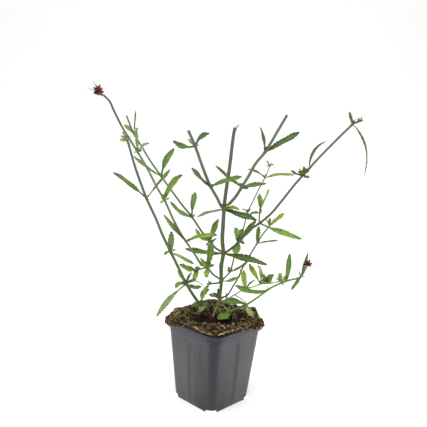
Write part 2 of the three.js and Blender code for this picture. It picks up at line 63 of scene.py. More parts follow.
def choose(*objects):
    """Selects these objects and nothing else. The first becomes the active one."""
    if bpy.context.object and bpy.context.object.mode != "OBJECT":
        bpy.ops.object.mode_set(mode="OBJECT")
    bpy.ops.object.select_all(action="DESELECT")
    for obj in objects:
        obj.select_set(True)
    bpy.context.view_layer.objects.active = objects[0] if objects else None


def added(operator, **settings):
    """Adds a mesh primitive with nothing else selected, and returns it."""
    choose()
    operator(**settings)
    return bpy.context.object


def pick(obj, parts, test):
    """In edit mode, selects the edges or faces that pass a test, and nothing else."""
    bpy.ops.mesh.select_all(action="DESELECT")
    shape = bmesh.from_edit_mesh(obj.data)
    for part in getattr(shape, parts):
        part.select_set(test(part))
    bmesh.update_edit_mesh(obj.data)


def apply_modifier(obj, kind, **settings):
    """Adds one modifier, sets it and applies it."""
    choose(obj)
    modifier = obj.modifiers.new(kind.title(), kind)
    for setting, value in settings.items():
        setattr(modifier, setting, value)
    bpy.ops.object.modifier_apply(modifier=modifier.name)


def smoothstep(value, low, high):
    """Goes softly from 0 to 1 while the value goes from low to high."""
    share = min(1, max(0, (value - low) / (high - low)))
    return share * share * (3 - 2 * share)


def finish_piece(obj, name, nodes, materials, smooth_angle=50):
    """Turns a piece from millimetres to metres and puts it in the model in the place of the named nodes."""
    obj.name = name
    obj.data.name = name
    for material in materials:
        obj.data.materials.append(material)
    obj.data.transform(Matrix.Scale(MM, 4))
    choose(obj)
    bpy.ops.object.shade_smooth_by_angle(angle=math.radians(smooth_angle))
    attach(obj, "root")
    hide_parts(*nodes)
    print(f"{name}: {sum(len(p.vertices) - 2 for p in obj.data.polygons)} triangles")


# %% [markdown]
# ## Camera
# The pot is seen from a little above, so the camera stands 65 cm in front, looks down nine degrees and is
# tipped slightly to one side. Its matrix is built from the move and the two turns, in that order, because
# that reads as the steps of setting up a real tripod.

# %% Camera
LENS = 47.69
SENSOR = 36
CAMERA_PLACE = Vector((-7.93, -652.4, 331.75)) * MM
LOOKING_DOWN = math.radians(9.11)
TIPPED = math.radians(2.84)

bpy.ops.object.camera_add()
camera = bpy.context.object
camera.name = "camera"
camera.data.lens = LENS
camera.data.sensor_width = SENSOR
camera.matrix_world = (
    Matrix.Translation(CAMERA_PLACE)
    @ Matrix.Rotation(math.pi / 2 - LOOKING_DOWN, 4, "X")
    @ Matrix.Rotation(TIPPED, 4, "Z")
)
bpy.context.scene.camera = camera
print("camera at", tuple(round(c, 3) for c in camera.location))

# %% [markdown]
# ## Materials from small steps
# A finish is a shader with a few texture nodes before it. The classes below add such nodes by their short
# names, so that each material further down reads as a recipe. Every texture is procedural: noise and
# ramps on the object's own coordinates, on its UV map or on a number stored at its points.

# %% Recipe classes for node trees
NOISE_ROUGHNESS = 0.55


def paint(code):
    """The linear colour of a hex code."""
    parts = [int(code[i:i + 2], 16) / 255 for i in (1, 3, 5)]
    return tuple(c / 12.92 if c <= 0.04045 else ((c + 0.055) / 1.055) ** 2.4 for c in parts) + (1,)


class Recipe:
    """Adds nodes to a node tree, one by one."""

    def __init__(self, tree):
        self.tree = tree

    def plug(self, socket, value):
        """Fills an input with a constant or with another node's output."""
        if isinstance(value, bpy.types.NodeSocket):
            self.tree.links.new(value, socket)
        else:
            socket.default_value = value

    def node(self, kind, inputs=(), **settings):
        """Adds a node. `inputs` lists what goes into its sockets: pairs of a name or number and a value."""
        made = self.tree.nodes.new("ShaderNode" + kind)
        for setting, value in settings.items():
            setattr(made, setting, value)
        for key, value in inputs:
            self.plug(made.inputs[key], value)
        return made

    def math(self, operation, *values):
        return self.node("Math", enumerate(values), operation=operation).outputs[0]

    def between(self, value, start, end, low=0.0, high=1.0):
        """Maps start..end to low..high with soft ends."""
        inputs = [(0, value), (1, start), (2, end), (3, low), (4, high)]
        return self.node("MapRange", inputs, interpolation_type="SMOOTHSTEP").outputs[0]


class Finish(Recipe):
    """A Principled material that is built up from a recipe."""

    def __init__(self, name, **constants):
        self.material = bpy.data.materials.new(name)
        self.material.use_nodes = True
        super().__init__(self.material.node_tree)
        self.shader = self.tree.nodes["Principled BSDF"]
        for words, value in constants.items():
            self.shader.inputs[words.replace("_", " ")].default_value = value

    def place(self, stretch=(1, 1, 1)):
        """The object's own coordinates, stretched for a pattern that runs one way."""
        coordinates = self.node("TexCoord").outputs["Object"]
        return self.node("Mapping", [("Vector", coordinates), ("Scale", stretch)]).outputs[0]

    def axes(self):
        """The object's own coordinates as three outputs, X, Y and Z."""
        return self.node("SeparateXYZ", [(0, self.place())]).outputs

    def square_place(self, turn):
        """How far a point is from the middle of a square along its two axes, which are turned."""
        axes = self.axes()
        found = []
        for ahead, aside in ((math.cos(turn), math.sin(turn)), (-math.sin(turn), math.cos(turn))):
            parts = [self.math("MULTIPLY", axes["X"], ahead), self.math("MULTIPLY", axes["Y"], aside)]
            found.append(self.math("ABSOLUTE", self.math("ADD", *parts)))
        return found

    def attribute(self, name):
        return self.node("Attribute", attribute_name=name).outputs["Fac"]

    def noise(self, scale, detail=3.0, place=None):
        inputs = [("Vector", place or self.place()), ("Scale", scale), ("Detail", detail)]
        inputs.append(("Roughness", NOISE_ROUGHNESS))
        return self.node("TexNoise", inputs).outputs["Fac"]

    def mottled(self, patches, low, high, strength):
        """The tone stored at the points, lighter and darker from patch to patch."""
        return self.math("ADD", self.attribute("tone"), self.between(patches, low, high, -strength, strength))

    def ramp(self, value, *stops):
        """Colours along a ramp, as pairs of a place and a hex code."""
        made = self.node("ValToRGB", [("Fac", value)])
        elements = made.color_ramp.elements
        ends = (elements[0], elements[1])
        for element, (place, code) in zip(ends, (stops[0], stops[-1])):
            element.position = place
            element.color = paint(code)
        for place, code in stops[1:-1]:
            elements.new(place).color = paint(code)
        return made.outputs["Color"]

    def mix(self, share, first, second):
        """Mixes two colours; a hex code stands for a constant one."""
        colours = [paint(c) if isinstance(c, str) else c for c in (first, second)]
        inputs = [(0, share), (6, colours[0]), (7, colours[1])]
        return self.node("Mix", inputs, data_type="RGBA").outputs[2]

    def bump(self, height, depth, below=None):
        """Raises the surface by a height texture, `depth` metres at most."""
        inputs = [("Height", height), ("Distance", depth), ("Strength", 1.0)]
        if below:
            inputs.append(("Normal", below))
        return self.node("Bump", inputs).outputs[0]

    def done(self, colour, normal=None, roughness=None):
        self.plug(self.shader.inputs["Base Color"], colour)
        if normal:
            self.plug(self.shader.inputs["Normal"], normal)
        if roughness:
            self.plug(self.shader.inputs["Roughness"], roughness)
        return self.material


# %% [markdown]
# ## Floor and light
# The plant stands in a white light tent: bright cloth at the sides, behind and overhead, and a dark
# opening towards the camera. The bright sides put a pale sheen on the satin pot, and the opening leaves
# its front corner dark. The world gives that soft light, and is plain white where it is seen. Below the
# camera a dark card lies on the floor, which only reflections see. Three large soft lights add a little
# shape. The floor curves up at the back, so it has no line where it ends. It glows faintly all over, and
# much more under the pot: a painted glow that lights up the pot's shade on the floor, so that the notch
# in its foot shows white.

# %% Light tent and softboxes
BACK_LIGHT = 1.35
FRONT_LIGHT = 0.3
FRONT_TO_BACK = (-0.5, 0.45)         # where the cloth goes from dark to bright
TOP_LIGHT = 1.25
SIDE_TO_TOP = (0.1, 0.9)
SEEN_LIGHT = 1.3                     # what the camera sees
PLANT_MIDDLE = Vector((0, 0, 0.18))

bpy.context.scene.view_settings.view_transform = "Standard"
world = bpy.data.worlds.new("light_tent")
world.use_nodes = True
bpy.context.scene.world = world

tent = Recipe(world.node_tree)
tent.tree.nodes.clear()
toward = tent.node("SeparateXYZ", [(0, tent.node("TexCoord").outputs["Generated"])]).outputs
sides = tent.between(toward["Y"], *FRONT_TO_BACK, FRONT_LIGHT, BACK_LIGHT)
lit = tent.node("Mix", [(0, tent.between(toward["Z"], *SIDE_TO_TOP)), (2, sides), (3, TOP_LIGHT)])
camera_ray = tent.node("LightPath").outputs["Is Camera Ray"]
seen = tent.node("Mix", [(0, camera_ray), (2, lit.outputs[0]), (3, SEEN_LIGHT)])
background = tent.node("Background", [("Strength", seen.outputs[0])])
tent.node("OutputWorld", [(0, background.outputs[0])])

for name, place, size, power in (
    ("softbox_left", (-1.3, -0.35, 0.75), 1.0, 9.0),
    ("softbox_right", (1.3, -0.25, 0.65), 1.0, 8.0),
    ("softbox_top", (-0.1, -0.45, 1.5), 0.9, 10.0),
):
    bpy.ops.object.light_add(type="AREA", location=place)
    softbox = bpy.context.object
    softbox.name = name
    softbox.data.size = size
    softbox.data.energy = power
    aim = PLANT_MIDDLE - Vector(place)
    softbox.rotation_euler = aim.to_track_quat("-Z", "Y").to_euler()
print("softboxes: 3")

# %% [markdown]
# The floor is a plane whose back edge is extruded upward. The fold between the two is then bevelled,
# which is the quickest way to one even bend.

# %% Floor
SWEEP_WIDE = 7.0
SWEEP_BACK = 1.9
SWEEP_HIGH = 2.6
SWEEP_BEND = 0.9
PAPER_GLOW = 0.14                    # of the paper, and more of it under the pot
UNDER_GLOW = 1.05
UNDER_EDGE = 0.033                   # metres from the pot's middle, along its sides
POT_TURN = math.radians(45.8)

nearly_back = SWEEP_BACK - 0.01
floor = added(bpy.ops.mesh.primitive_plane_add, size=SWEEP_WIDE, location=(0, SWEEP_BACK - SWEEP_WIDE / 2, 0))
floor.name = "floor"
bpy.ops.object.transform_apply(location=True)
bpy.ops.object.mode_set(mode="EDIT")
bpy.ops.mesh.select_mode(type="EDGE")
pick(floor, "edges", lambda edge: all(v.co.y > nearly_back for v in edge.verts))
bpy.ops.mesh.extrude_region_move(TRANSFORM_OT_translate={"value": (0, 0, SWEEP_HIGH)})
pick(floor, "edges", lambda edge: all(v.co.y > nearly_back and v.co.z < 0.01 for v in edge.verts))
bpy.ops.mesh.bevel(offset=SWEEP_BEND, segments=16)
bpy.ops.object.mode_set(mode="OBJECT")
bpy.ops.object.shade_smooth()
paper = Finish("white_paper", Roughness=0.9, Specular_IOR_Level=0.2, Emission_Strength=PAPER_GLOW)
paper.shader.inputs["Emission Color"].default_value = (1, 1, 1, 1)
# Painted glow: inside the pot's square the paper glows much more, lighting up the shade under the pot.
from_middle = paper.math("MAXIMUM", *paper.square_place(POT_TURN))
glow = paper.between(from_middle, UNDER_EDGE, UNDER_EDGE - 0.002, PAPER_GLOW, UNDER_GLOW)
paper.plug(paper.shader.inputs["Emission Strength"], glow)
paper.done(paper.mix(paper.noise(3.0), "#f2f1ef", "#f6f5f4"))
floor.data.materials.append(paper.material)
print("floor faces:", len(floor.data.polygons))

# %% Dark card that only reflections see
CARD_FROM = -0.03
CARD_FADE = 0.1
CARD_WIDE = 3.0

card = added(bpy.ops.mesh.primitive_plane_add, size=CARD_WIDE, location=(0, CARD_FROM - CARD_WIDE / 2, 0.001))
card.name = "dark_card"
bpy.ops.object.transform_apply(location=True)
card.visible_camera = False
card.visible_diffuse = False
card.visible_shadow = False
velvet = Finish("dark_velvet", Roughness=1.0, Specular_IOR_Level=0.0)
fade = velvet.between(velvet.axes()["Y"], CARD_FROM, CARD_FROM - CARD_FADE)
velvet.done(velvet.mix(fade, "#c8c8c8", velvet.mix(velvet.noise(40), "#1c1c1e", "#242426")))
card.data.materials.append(velvet.material)
print("card from", CARD_FROM, "m in front of the pot's middle")

# %% [markdown]
# ## Skins from rings
# The pot and the soil are both squares with round corners that change from height to height. Such a body
# starts as a circle. Its edge is extruded once for each height, and each new loop is set on its own
# outline. A number kept at each point says which place on the outline it belongs to, and the extrusion
# copies that number along.

# %% Rounded squares and skins
ARC_POINTS = 10
FLAT_POINTS = 24


def rounded_square(half, corner, z, out=None):
    """One loop of points. `out` gives how far a side stands out at a share of its length from 0 to 1."""
    flat = half - corner
    points = []
    for quarter in range(4):
        turn = POT_TURN + quarter * math.pi / 2
        for step in range(ARC_POINTS):
            bearing = math.pi / 2 * step / (ARC_POINTS - 1)
            points.append((flat + corner * math.cos(bearing), flat + corner * math.sin(bearing), turn))
        for step in range(1, FLAT_POINTS):
            share = step / FLAT_POINTS
            extra = out(share) if out else 0
            points.append((flat - 2 * flat * share, half + extra, turn))
    return [
        (x * math.cos(turn) - y * math.sin(turn), x * math.sin(turn) + y * math.cos(turn), z)
        for x, y, turn in points
    ]


def skin(rings):
    """Extrudes a closed body through loops of equally many points."""
    obj = added(bpy.ops.mesh.primitive_circle_add, vertices=len(rings[0]))
    bpy.ops.object.mode_set(mode="EDIT")
    shape = bmesh.from_edit_mesh(obj.data)
    seat = shape.verts.layers.int.new("seat")
    for number, vert in enumerate(shape.verts):
        vert[seat] = number
    for step, ring in enumerate(rings):
        if step:
            bpy.ops.mesh.extrude_edges_move()
            shape = bmesh.from_edit_mesh(obj.data)
            seat = shape.verts.layers.int["seat"]
        for vert in shape.verts:
            if vert.select:
                vert.co = ring[vert[seat]]
        bmesh.update_edit_mesh(obj.data)
    bpy.ops.mesh.edge_face_add()
    bpy.ops.mesh.select_all(action="SELECT")
    bpy.ops.mesh.region_to_loop()
    bpy.ops.mesh.edge_face_add()
    bpy.ops.mesh.select_all(action="SELECT")
    bpy.ops.mesh.normals_make_consistent(inside=False)
    bpy.ops.object.mode_set(mode="OBJECT")
    return obj


# %% [markdown]
# ## Pot
# The pot is one thin moulding: tapering walls, a small collar, and a lip that is folded over so that air
# is left behind its skirt. Under each corner of the base is a notch with a drain hole in its roof. The
# wall and the lip are one profile, so they are one skin: up the outside, round the lip, and down the
# inside to the floor. The notches and holes are then cut by a Boolean, as they are plain shapes that pass
# through the skin.

# %% Pot: sizes
POT_HEIGHT = 97
LIP_HALF = 45
LIP_DEEP = 7
LIP_SKIN = 1.1
LIP_OUT = 4
BASE_HALF = 33
BASE_CORNER = 9
BASE_CORNER_CUT = 9.5        # the corners are cut back to this radius at the very base
CUT_HEIGHT = 5
CORNER_GROWTH = 1
COLLAR_FROM = 83
COLLAR_STEP = 0.12
WALL = 1.2
FLOOR = 1.5
NOTCH_TALL = 3.2
NOTCH_WIDE = 12.8
NOTCH_REACH = 36
DRAIN_RADIUS = 2.5
DRAIN_REACH = 38.5
SIDE_BULGE = 0.8             # the two halves of a side meet in a low ridge
SIDE_GROOVE = 0.45           # with a shallow mould line down the middle
GROOVE_HALF = 0.03
BULGE_FADES = 45             # below the collar


def corner_at(z):
    return BASE_CORNER + CORNER_GROWTH * z / POT_HEIGHT


def wall_half(z):
    return BASE_HALF + (LIP_HALF - LIP_OUT - BASE_HALF) * z / (POT_HEIGHT - LIP_DEEP)


def wall_swell(z):
    """Says how far a side stands out at this height, for a share of its length."""
    strength = smoothstep(COLLAR_FROM + 2 - z, 0, BULGE_FADES)

    def swell(share):
        from_middle = (share - 0.5) / GROOVE_HALF
        ridge = SIDE_BULGE * (1 - abs(2 * share - 1) ** 1.2)
        return strength * (ridge - SIDE_GROOVE * math.exp(-from_middle ** 2 / 2))

    return swell


# %% Pot: walls, collar, lip and inside
def pot_ring(z, half, corner=None, out=None):
    """A loop of the pot; its corners grow with it unless their radius is given."""
    if corner is None:
        corner = corner_at(z) + half - wall_half(z)
    return rounded_square(half, corner, z, out)


lip_low = POT_HEIGHT - LIP_DEEP
collar_low = wall_half(COLLAR_FROM)
skirt_inside = LIP_HALF - LIP_SKIN
inside_corner = 25           # the cavity's corners are rounder under the notches' roofs

foot_rings = (
    (0, BASE_HALF - 0.15, BASE_CORNER_CUT),
    (0.2, wall_half(0.2), BASE_CORNER_CUT),
    (CUT_HEIGHT * 0.5, wall_half(CUT_HEIGHT * 0.5), 0.5 * (BASE_CORNER_CUT + BASE_CORNER)),
    (CUT_HEIGHT * 0.9, wall_half(CUT_HEIGHT * 0.9), BASE_CORNER + 0.4, wall_swell(CUT_HEIGHT)),
    (CUT_HEIGHT * 1.3, wall_half(CUT_HEIGHT * 1.3), None, wall_swell(CUT_HEIGHT)),
)
lip_rings = (
    (COLLAR_FROM + 0.3, collar_low + COLLAR_STEP),
    (COLLAR_FROM + 1.2, wall_half(COLLAR_FROM + 1.2) + COLLAR_STEP),
    (lip_low, wall_half(lip_low) + COLLAR_STEP),
    (POT_HEIGHT - 1.8, wall_half(POT_HEIGHT) + COLLAR_STEP / 2),
    (POT_HEIGHT - 1.2, wall_half(POT_HEIGHT) + 0.8),
    (POT_HEIGHT - 1.2, skirt_inside - 0.6),
    (POT_HEIGHT - 1.9, skirt_inside),
    (lip_low + 0.3, skirt_inside),
    (lip_low, skirt_inside + LIP_SKIN / 2),
    (lip_low + 0.3, LIP_HALF - 0.12),
    (lip_low + 0.8, LIP_HALF),
    (POT_HEIGHT - 1.0, LIP_HALF),
    (POT_HEIGHT - 0.3, LIP_HALF - 0.25),
    (POT_HEIGHT, LIP_HALF - 0.9),
    (POT_HEIGHT, wall_half(POT_HEIGHT) - 0.4),
    (POT_HEIGHT - 0.5, wall_half(POT_HEIGHT) - WALL),
)
pot_rings = [pot_ring(*ring) for ring in foot_rings]
heights = (22, 36, 50, 64, 76, COLLAR_FROM - 1.2, COLLAR_FROM - 0.3)
pot_rings += [pot_ring(z, wall_half(z), None, wall_swell(z)) for z in heights]
pot_rings += [pot_ring(*ring) for ring in lip_rings]
pot_rings += [pot_ring(z, wall_half(z) - WALL) for z in (80, 50, 20, NOTCH_TALL + 2 * WALL)]
pot_rings += [pot_ring(z, wall_half(z) - WALL, inside_corner) for z in (NOTCH_TALL + WALL, FLOOR)]
pot = skin(pot_rings)
print("pot skin:", len(pot.data.polygons), "faces")

# %% Pot: notches and drain holes
NOTCH_LONG = 20


def roof_edge(edge):
    """The edges of a notch's roof that are rounded."""
    a, b = (vert.co for vert in edge.verts)
    return max(a.x, b.x) < 0 < min(a.z, b.z) or abs(a.x - b.x) > 1 and a.z > 0


cutters = []
for quarter in range(4):
    bearing = POT_TURN + math.pi / 4 + quarter * math.pi / 2
    outward = Vector((math.cos(bearing), math.sin(bearing), 0))
    place = outward * (NOTCH_REACH + NOTCH_LONG / 2)
    notch = added(bpy.ops.mesh.primitive_cube_add, size=1, location=place, rotation=(0, 0, bearing))
    notch.scale = (NOTCH_LONG, NOTCH_WIDE, 2 * NOTCH_TALL)
    bpy.ops.object.transform_apply(scale=True)
    bpy.ops.object.mode_set(mode="EDIT")
    pick(notch, "edges", roof_edge)
    bpy.ops.mesh.bevel(offset=1.0, segments=4)
    bpy.ops.object.mode_set(mode="OBJECT")
    place = outward * DRAIN_REACH + Vector((0, 0, NOTCH_TALL))
    bpy.ops.mesh.primitive_cylinder_add(vertices=28, radius=DRAIN_RADIUS, depth=12, location=place)
    cutters += [notch, bpy.context.object]
for cutter in cutters:
    apply_modifier(pot, "BOOLEAN", object=cutter, operation="DIFFERENCE", solver="EXACT")
    bpy.data.objects.remove(cutter)


# %% [markdown]
# The plastic is satin polypropylene. It has a fine mould grain, long soft streaks that run up the walls,
# a darker bluish tint on the lip, a breath of peat dust near the base, and a grey that darkens towards
# the base. Painted shade darkens the mould line down each side, more on the right sides. The gloss is
# broad, so the edges that face the bright sides of the tent turn pale.

# %% Pot: plastic
def pot_plastic():
    finish = Finish("pot_plastic", Roughness=0.3, Specular_IOR_Level=0.45)
    streaks = finish.noise(60, 2, place=finish.place((1, 1, 0.06)))
    clouds = finish.noise(35, 4)
    grey = finish.ramp(streaks, (0.3, "#37383c"), (0.7, "#434449"))
    axes = finish.axes()
    height = axes["Z"]
    dust = finish.math("MULTIPLY", finish.between(height, 0.04, 0.0, 0.0, 0.1), clouds)
    # A darker bluish tint on the lip.
    bluish_lip_tint = finish.between(height, 0.085, 0.092, 0.0, 0.4)
    # Painted shade along the mould line down the middle of each side: stronger on the right sides, gone above
    # the collar.
    to_groove = finish.math("MINIMUM", *finish.square_place(POT_TURN))
    groove = finish.between(to_groove, 0.006, 0.0005, 0.0, 1.0)
    groove = finish.math("MULTIPLY", groove, finish.between(axes["X"], -0.02, 0.02, 0.3, 0.9))
    groove = finish.math("MULTIPLY", groove, finish.between(height, 0.086, 0.076))
    grey = finish.mix(groove, grey, "#1b1c1f")
    grey = finish.mix(finish.between(height, 0.05, 0.0, 0.0, 0.45), grey, "#242528")
    colour = finish.mix(dust, finish.mix(bluish_lip_tint, grey, "#30323f"), "#6d655b")
    grain = finish.bump(finish.noise(1400, 2), 0.00004)
    soft = finish.bump(streaks, 0.0001, grain)
    roughness = finish.between(clouds, 0.3, 0.7, 0.27, 0.37)
    return finish.done(colour, soft, roughness)


finish_piece(pot, "pot_moulding", ["pot"], [pot_plastic()], 35)

# %% [markdown]
# ## Patterns and heaps
# The soil has thousands of fibres, and the plant has hundreds of leaves. Each kind is modelled once, as a
# pattern, and then copied. A pattern keeps the points, faces and UVs of the modelled piece. A heap
# gathers the moved copies, with a few numbers stored at their points for the materials, and becomes one
# mesh at the end, which is far quicker than joining thousands of objects.

# %% Pattern and heap
class Pattern:
    """A small modelled piece, read once so that it can be copied many times. The object is then removed."""

    def __init__(self, obj, paints=None):
        mesh = obj.data
        self.points = np.array([v.co for v in mesh.vertices])
        self.faces = [tuple(p.vertices) for p in mesh.polygons]
        self.paints = paints or [p.material_index for p in mesh.polygons]
        layer = mesh.uv_layers.active
        self.uvs = np.array([u.uv for u in layer.data]) if layer else np.zeros((len(mesh.loops), 2))
        bpy.data.objects.remove(obj)


class Heap:
    """Copies of patterns that become one mesh."""

    def __init__(self):
        self.points, self.faces, self.paints, self.uvs = [], [], [], []
        self.marks = {"tone": [], "pale": [], "dusk": []}
        self.count = 0

    def add(self, pattern, points, tone=0.5, pale=0.0, dusk=0.0, paint_as=None):
        """Adds a copy whose points were moved. A mark is one number, or a number for each point."""
        self.points.append(points)
        self.faces += [tuple(i + self.count for i in face) for face in pattern.faces]
        self.paints += pattern.paints if paint_as is None else [paint_as] * len(pattern.faces)
        self.uvs.append(pattern.uvs)
        for mark, value in (("tone", tone), ("pale", pale), ("dusk", dusk)):
            self.marks[mark].append(np.broadcast_to(value, len(points)))
        self.count += len(points)

    def build(self, name):
        mesh = bpy.data.meshes.new(name)
        mesh.from_pydata(np.concatenate(self.points), [], self.faces)
        mesh.uv_layers.new(name="UVMap").data.foreach_set("uv", np.concatenate(self.uvs).ravel())
        mesh.polygons.foreach_set("material_index", self.paints)
        for mark, values in self.marks.items():
            values = np.concatenate(values).astype(np.float32)
            mesh.attributes.new(mark, "FLOAT", "POINT").data.foreach_set("value", values)
        obj = bpy.data.objects.new(name, mesh)
        bpy.context.collection.objects.link(obj)
        return obj


# %% [markdown]
# ## Soil
# The pot is filled past its lip with coarse peat: a dark crumbly heap with pale fibres lying all over it.
# The heap itself is a skin like the pot's, whose top follows a height formula with fine lumps from noise.
# The fibres and crumbs are copied on top of it as real pieces, because their shadows are what makes peat
# look like peat.

# %% Soil: the shape of the heap
SOIL_OVER_LIP = 4
SOIL_BACK_RISE = 6
SOIL_HALF = LIP_HALF - 0.8
LUMP_SIZE = 5.5
LUMP_HIGH = 2.1
CRUMB_SIZE = 1.9
CRUMB_HIGH = 1.0
BRIM_HIGH = 2.2                      # the soil at the brim, above the lip
BRIM_WIDE = 0.16                     # the share of the way in over which it rises from there
CREVICE = (0, -10.5, -8, 17, 4.2)    # a narrow gap before the crown, darkened with painted shade
MOUNDS = (                           # x, y, rise, and how far each one spreads along x and y
    (40, 5, 7.5, 11, 10),            # the shoulder at the right
    (50, 8, 3, 5, 6),                # and its lump at the brim
    (-8, 30, 3.5, 10, 6),            # behind the crown
    (-5, -14, -3.5, 20, 7),          # the hollow before the crown
    (-14, -33, 2, 15, 5),            # the ledge in front of it
    (-48, 8, 4, 8, 8),               # the lump at the left corner
    CREVICE,
)


def bump_at(dx, dy):
    return math.exp(-(dx * dx + dy * dy) / 2)


def rim_share(x, y):
    """How far out a place is in the pot's square: 0 at its middle and 1 at the brim."""
    turned_x = abs(x * math.cos(POT_TURN) + y * math.sin(POT_TURN))
    turned_y = abs(y * math.cos(POT_TURN) - x * math.sin(POT_TURN))
    return (turned_x ** 6 + turned_y ** 6) ** (1 / 6) / SOIL_HALF


def mound(x, y, at_x, at_y, rise, wide, deep):
    return rise * bump_at((x - at_x) / wide, (y - at_y) / deep)


def waves(x, y):
    """Low waves all over the heap."""
    return 0.8 * math.sin(0.31 * x + 1.3) * math.cos(0.27 * y + 0.4) + 0.5 * math.sin(0.53 * x - 0.41 * y)


def soil_top(x, y):
    """Height of the soil, lumps included."""
    share = rim_share(x, y)
    settle = smoothstep(1 - share, 0, BRIM_WIDE)
    high = SOIL_OVER_LIP + SOIL_BACK_RISE * smoothstep(y, -22, 34) + waves(x, y)
    high = BRIM_HIGH + (high - BRIM_HIGH) * settle
    high += sum(mound(x, y, *place) for place in MOUNDS) * smoothstep(1 - share, -0.03, 0.08)
    lumps = LUMP_HIGH * noise.noise(Vector((x, y, 0)) / LUMP_SIZE)
    crumbs = CRUMB_HIGH * noise.noise(Vector((x, y, 9)) / CRUMB_SIZE)
    return POT_HEIGHT + high + (lumps + crumbs) * (0.4 + 0.6 * settle) - 6 * max(0, share - 1)


def shade_of(x, y):
    """How deep in the crevice a place is, from 0 to 1. The peat's tone there is darkened by it, as painted
    shade.
    """
    return bump_at((x - CREVICE[0]) / (CREVICE[3] + 3), (y - CREVICE[1]) / (CREVICE[4] + 1.6))


# %% Soil: the body of the heap
TOP_RINGS = 46
AIR = 0.4                            # between the peat and the plastic

soil_rings = [pot_ring(FLOOR + AIR, wall_half(FLOOR) - WALL - AIR, inside_corner + 1)]
soil_rings += [pot_ring(z, wall_half(z) - WALL - AIR) for z in (NOTCH_TALL + 2 * WALL + AIR, 50, POT_HEIGHT)]
soil_rings += [pot_ring(POT_HEIGHT + 0.3, SOIL_HALF), pot_ring(POT_HEIGHT + 0.9, SOIL_HALF + 0.2)]
brim = np.array(pot_ring(POT_HEIGHT, SOIL_HALF))
for ring in range(TOP_RINGS):
    share = 0.995 * (1 - ring / TOP_RINGS) + 0.01
    soil_rings.append([(x * share, y * share, soil_top(x * share, y * share)) for x, y, z in brim])
heap_body = Pattern(skin(soil_rings))
print("heap:", len(heap_body.faces), "faces")

# %% [markdown]
# A fibre is a thin three-sided rod that is cut across in a few places and then laid along a curved line.
# The helper `lay_along` does that for any pattern whose length runs up its Z axis from 0 to 1: it finds
# the line's place and direction at that height, and sets the rest of the point beside it.

# %% Soil: rods, balls and how a pattern is laid
def rod(sides, cuts):
    """A rod along Z from 0 to 1 with a radius of 1, cut across so that it can bend."""
    obj = added(bpy.ops.mesh.primitive_cylinder_add, vertices=sides, radius=1, depth=1, location=(0, 0, 0.5))
    bpy.ops.object.transform_apply(location=True)
    bpy.ops.object.mode_set(mode="EDIT")
    for cut in range(1, cuts):
        bpy.ops.mesh.select_all(action="SELECT")
        bpy.ops.mesh.bisect(plane_co=(0, 0, cut / cuts), plane_no=(0, 0, 1))
    bpy.ops.object.mode_set(mode="OBJECT")
    return obj


def ball(fineness):
    """A faceted ball with a radius of 1."""
    return Pattern(added(bpy.ops.mesh.primitive_ico_sphere_add, subdivisions=fineness, radius=1))


def lay_along(points, line, thick):
    """Lays a pattern along a line of points. `thick` gives the radius at each point of the line."""
    line = np.asarray(line, float)
    steps = len(line) - 1
    at = np.clip(points[:, 2], 0, 1) * steps
    index = np.minimum(at.astype(int), steps - 1)
    part = (at - index)[:, None]
    ways = np.gradient(line, axis=0)
    ways /= np.linalg.norm(ways, axis=1)[:, None] + 1e-9
    sides = np.cross(ways, (0.13, 0.07, 0.99))
    sides /= np.linalg.norm(sides, axis=1)[:, None] + 1e-9
    ups = np.cross(sides, ways)

    def along(values):
        return values[index] * (1 - part) + values[index + 1] * part

    radius = along(np.asarray(thick, float)[:, None])
    return along(line) + radius * (points[:, :1] * along(sides) + points[:, 1:2] * along(ups))


# %% Soil: one fibre and one lump
FIBRE_CUTS = 6
TAPER = [0.45] + [1] * (FIBRE_CUTS - 1) + [0.35]
SOIL_REACH = 64                      # half of a square that holds the whole heap

fibre = Pattern(rod(3, FIBRE_CUTS))
crumb = ball(1)
lump = ball(2)
draw = random.Random(41)
peat_heap = Heap()
peat_heap.add(heap_body, heap_body.points, tone=0.1)


def on_soil(reach=1.0):
    """A random place on the heap, nearer the brim than `reach`."""
    while True:
        x, y = draw.uniform(-SOIL_REACH, SOIL_REACH), draw.uniform(-SOIL_REACH, SOIL_REACH)
        if rim_share(x, y) < reach:
            return x, y


def fibre_line(x, y, long, bend, hump):
    """A curved line on the soil that lifts off it in the middle. It seldom leaves the brim."""
    bearing = draw.uniform(0, 2 * math.pi)
    reach = draw.choice((0.96, 0.975, 0.985, 0.985, 1.0, 1.03))
    line = []
    for step in range(FIBRE_CUTS + 1):
        share = step / FIBRE_CUTS
        back = min(1, reach / max(0.01, rim_share(x, y)))
        x, y = x * back, y * back
        line.append((x, y, soil_top(x, y) + 0.1 + hump * math.sin(math.pi * share)))
        x += math.cos(bearing + bend * share) * long / FIBRE_CUTS
        y += math.sin(bearing + bend * share) * long / FIBRE_CUTS
    return line


def add_fibre(line, radius, tone):
    """Adds one fibre that is thinner at its ends."""
    peat_heap.add(fibre, lay_along(fibre.points, line, [radius * share for share in TAPER]), tone)


def add_lump(kind, spot, size, tone):
    """Adds one knobbly lump, a little flattened."""
    jitter = np.array([draw.uniform(0.7, 1.25) for _ in range(3 * len(kind.points))]).reshape(-1, 3)
    squash = np.array((1, draw.uniform(0.6, 1), draw.uniform(0.5, 0.9))) * size
    peat_heap.add(kind, kind.points * jitter * squash + np.array(spot), tone)


# %% Soil: sow the fibres, crumbs and lumps
FIBRES = 2500
BRIM_FIBRES = 420
CRUMBS = 1600
LUMPS = 150
PATCH_SIZE = 6.5                     # of the lighter and darker patches
PATCH_STRENGTH = 0.55
TONE = 0.4                           # in the middle
TONE_SPREAD = 0.28
PAINTED_LEAF_SHADOW = (11, -15, -0.55, 9, 5)   # painted shadow of a leaf before the crown, given like a mound
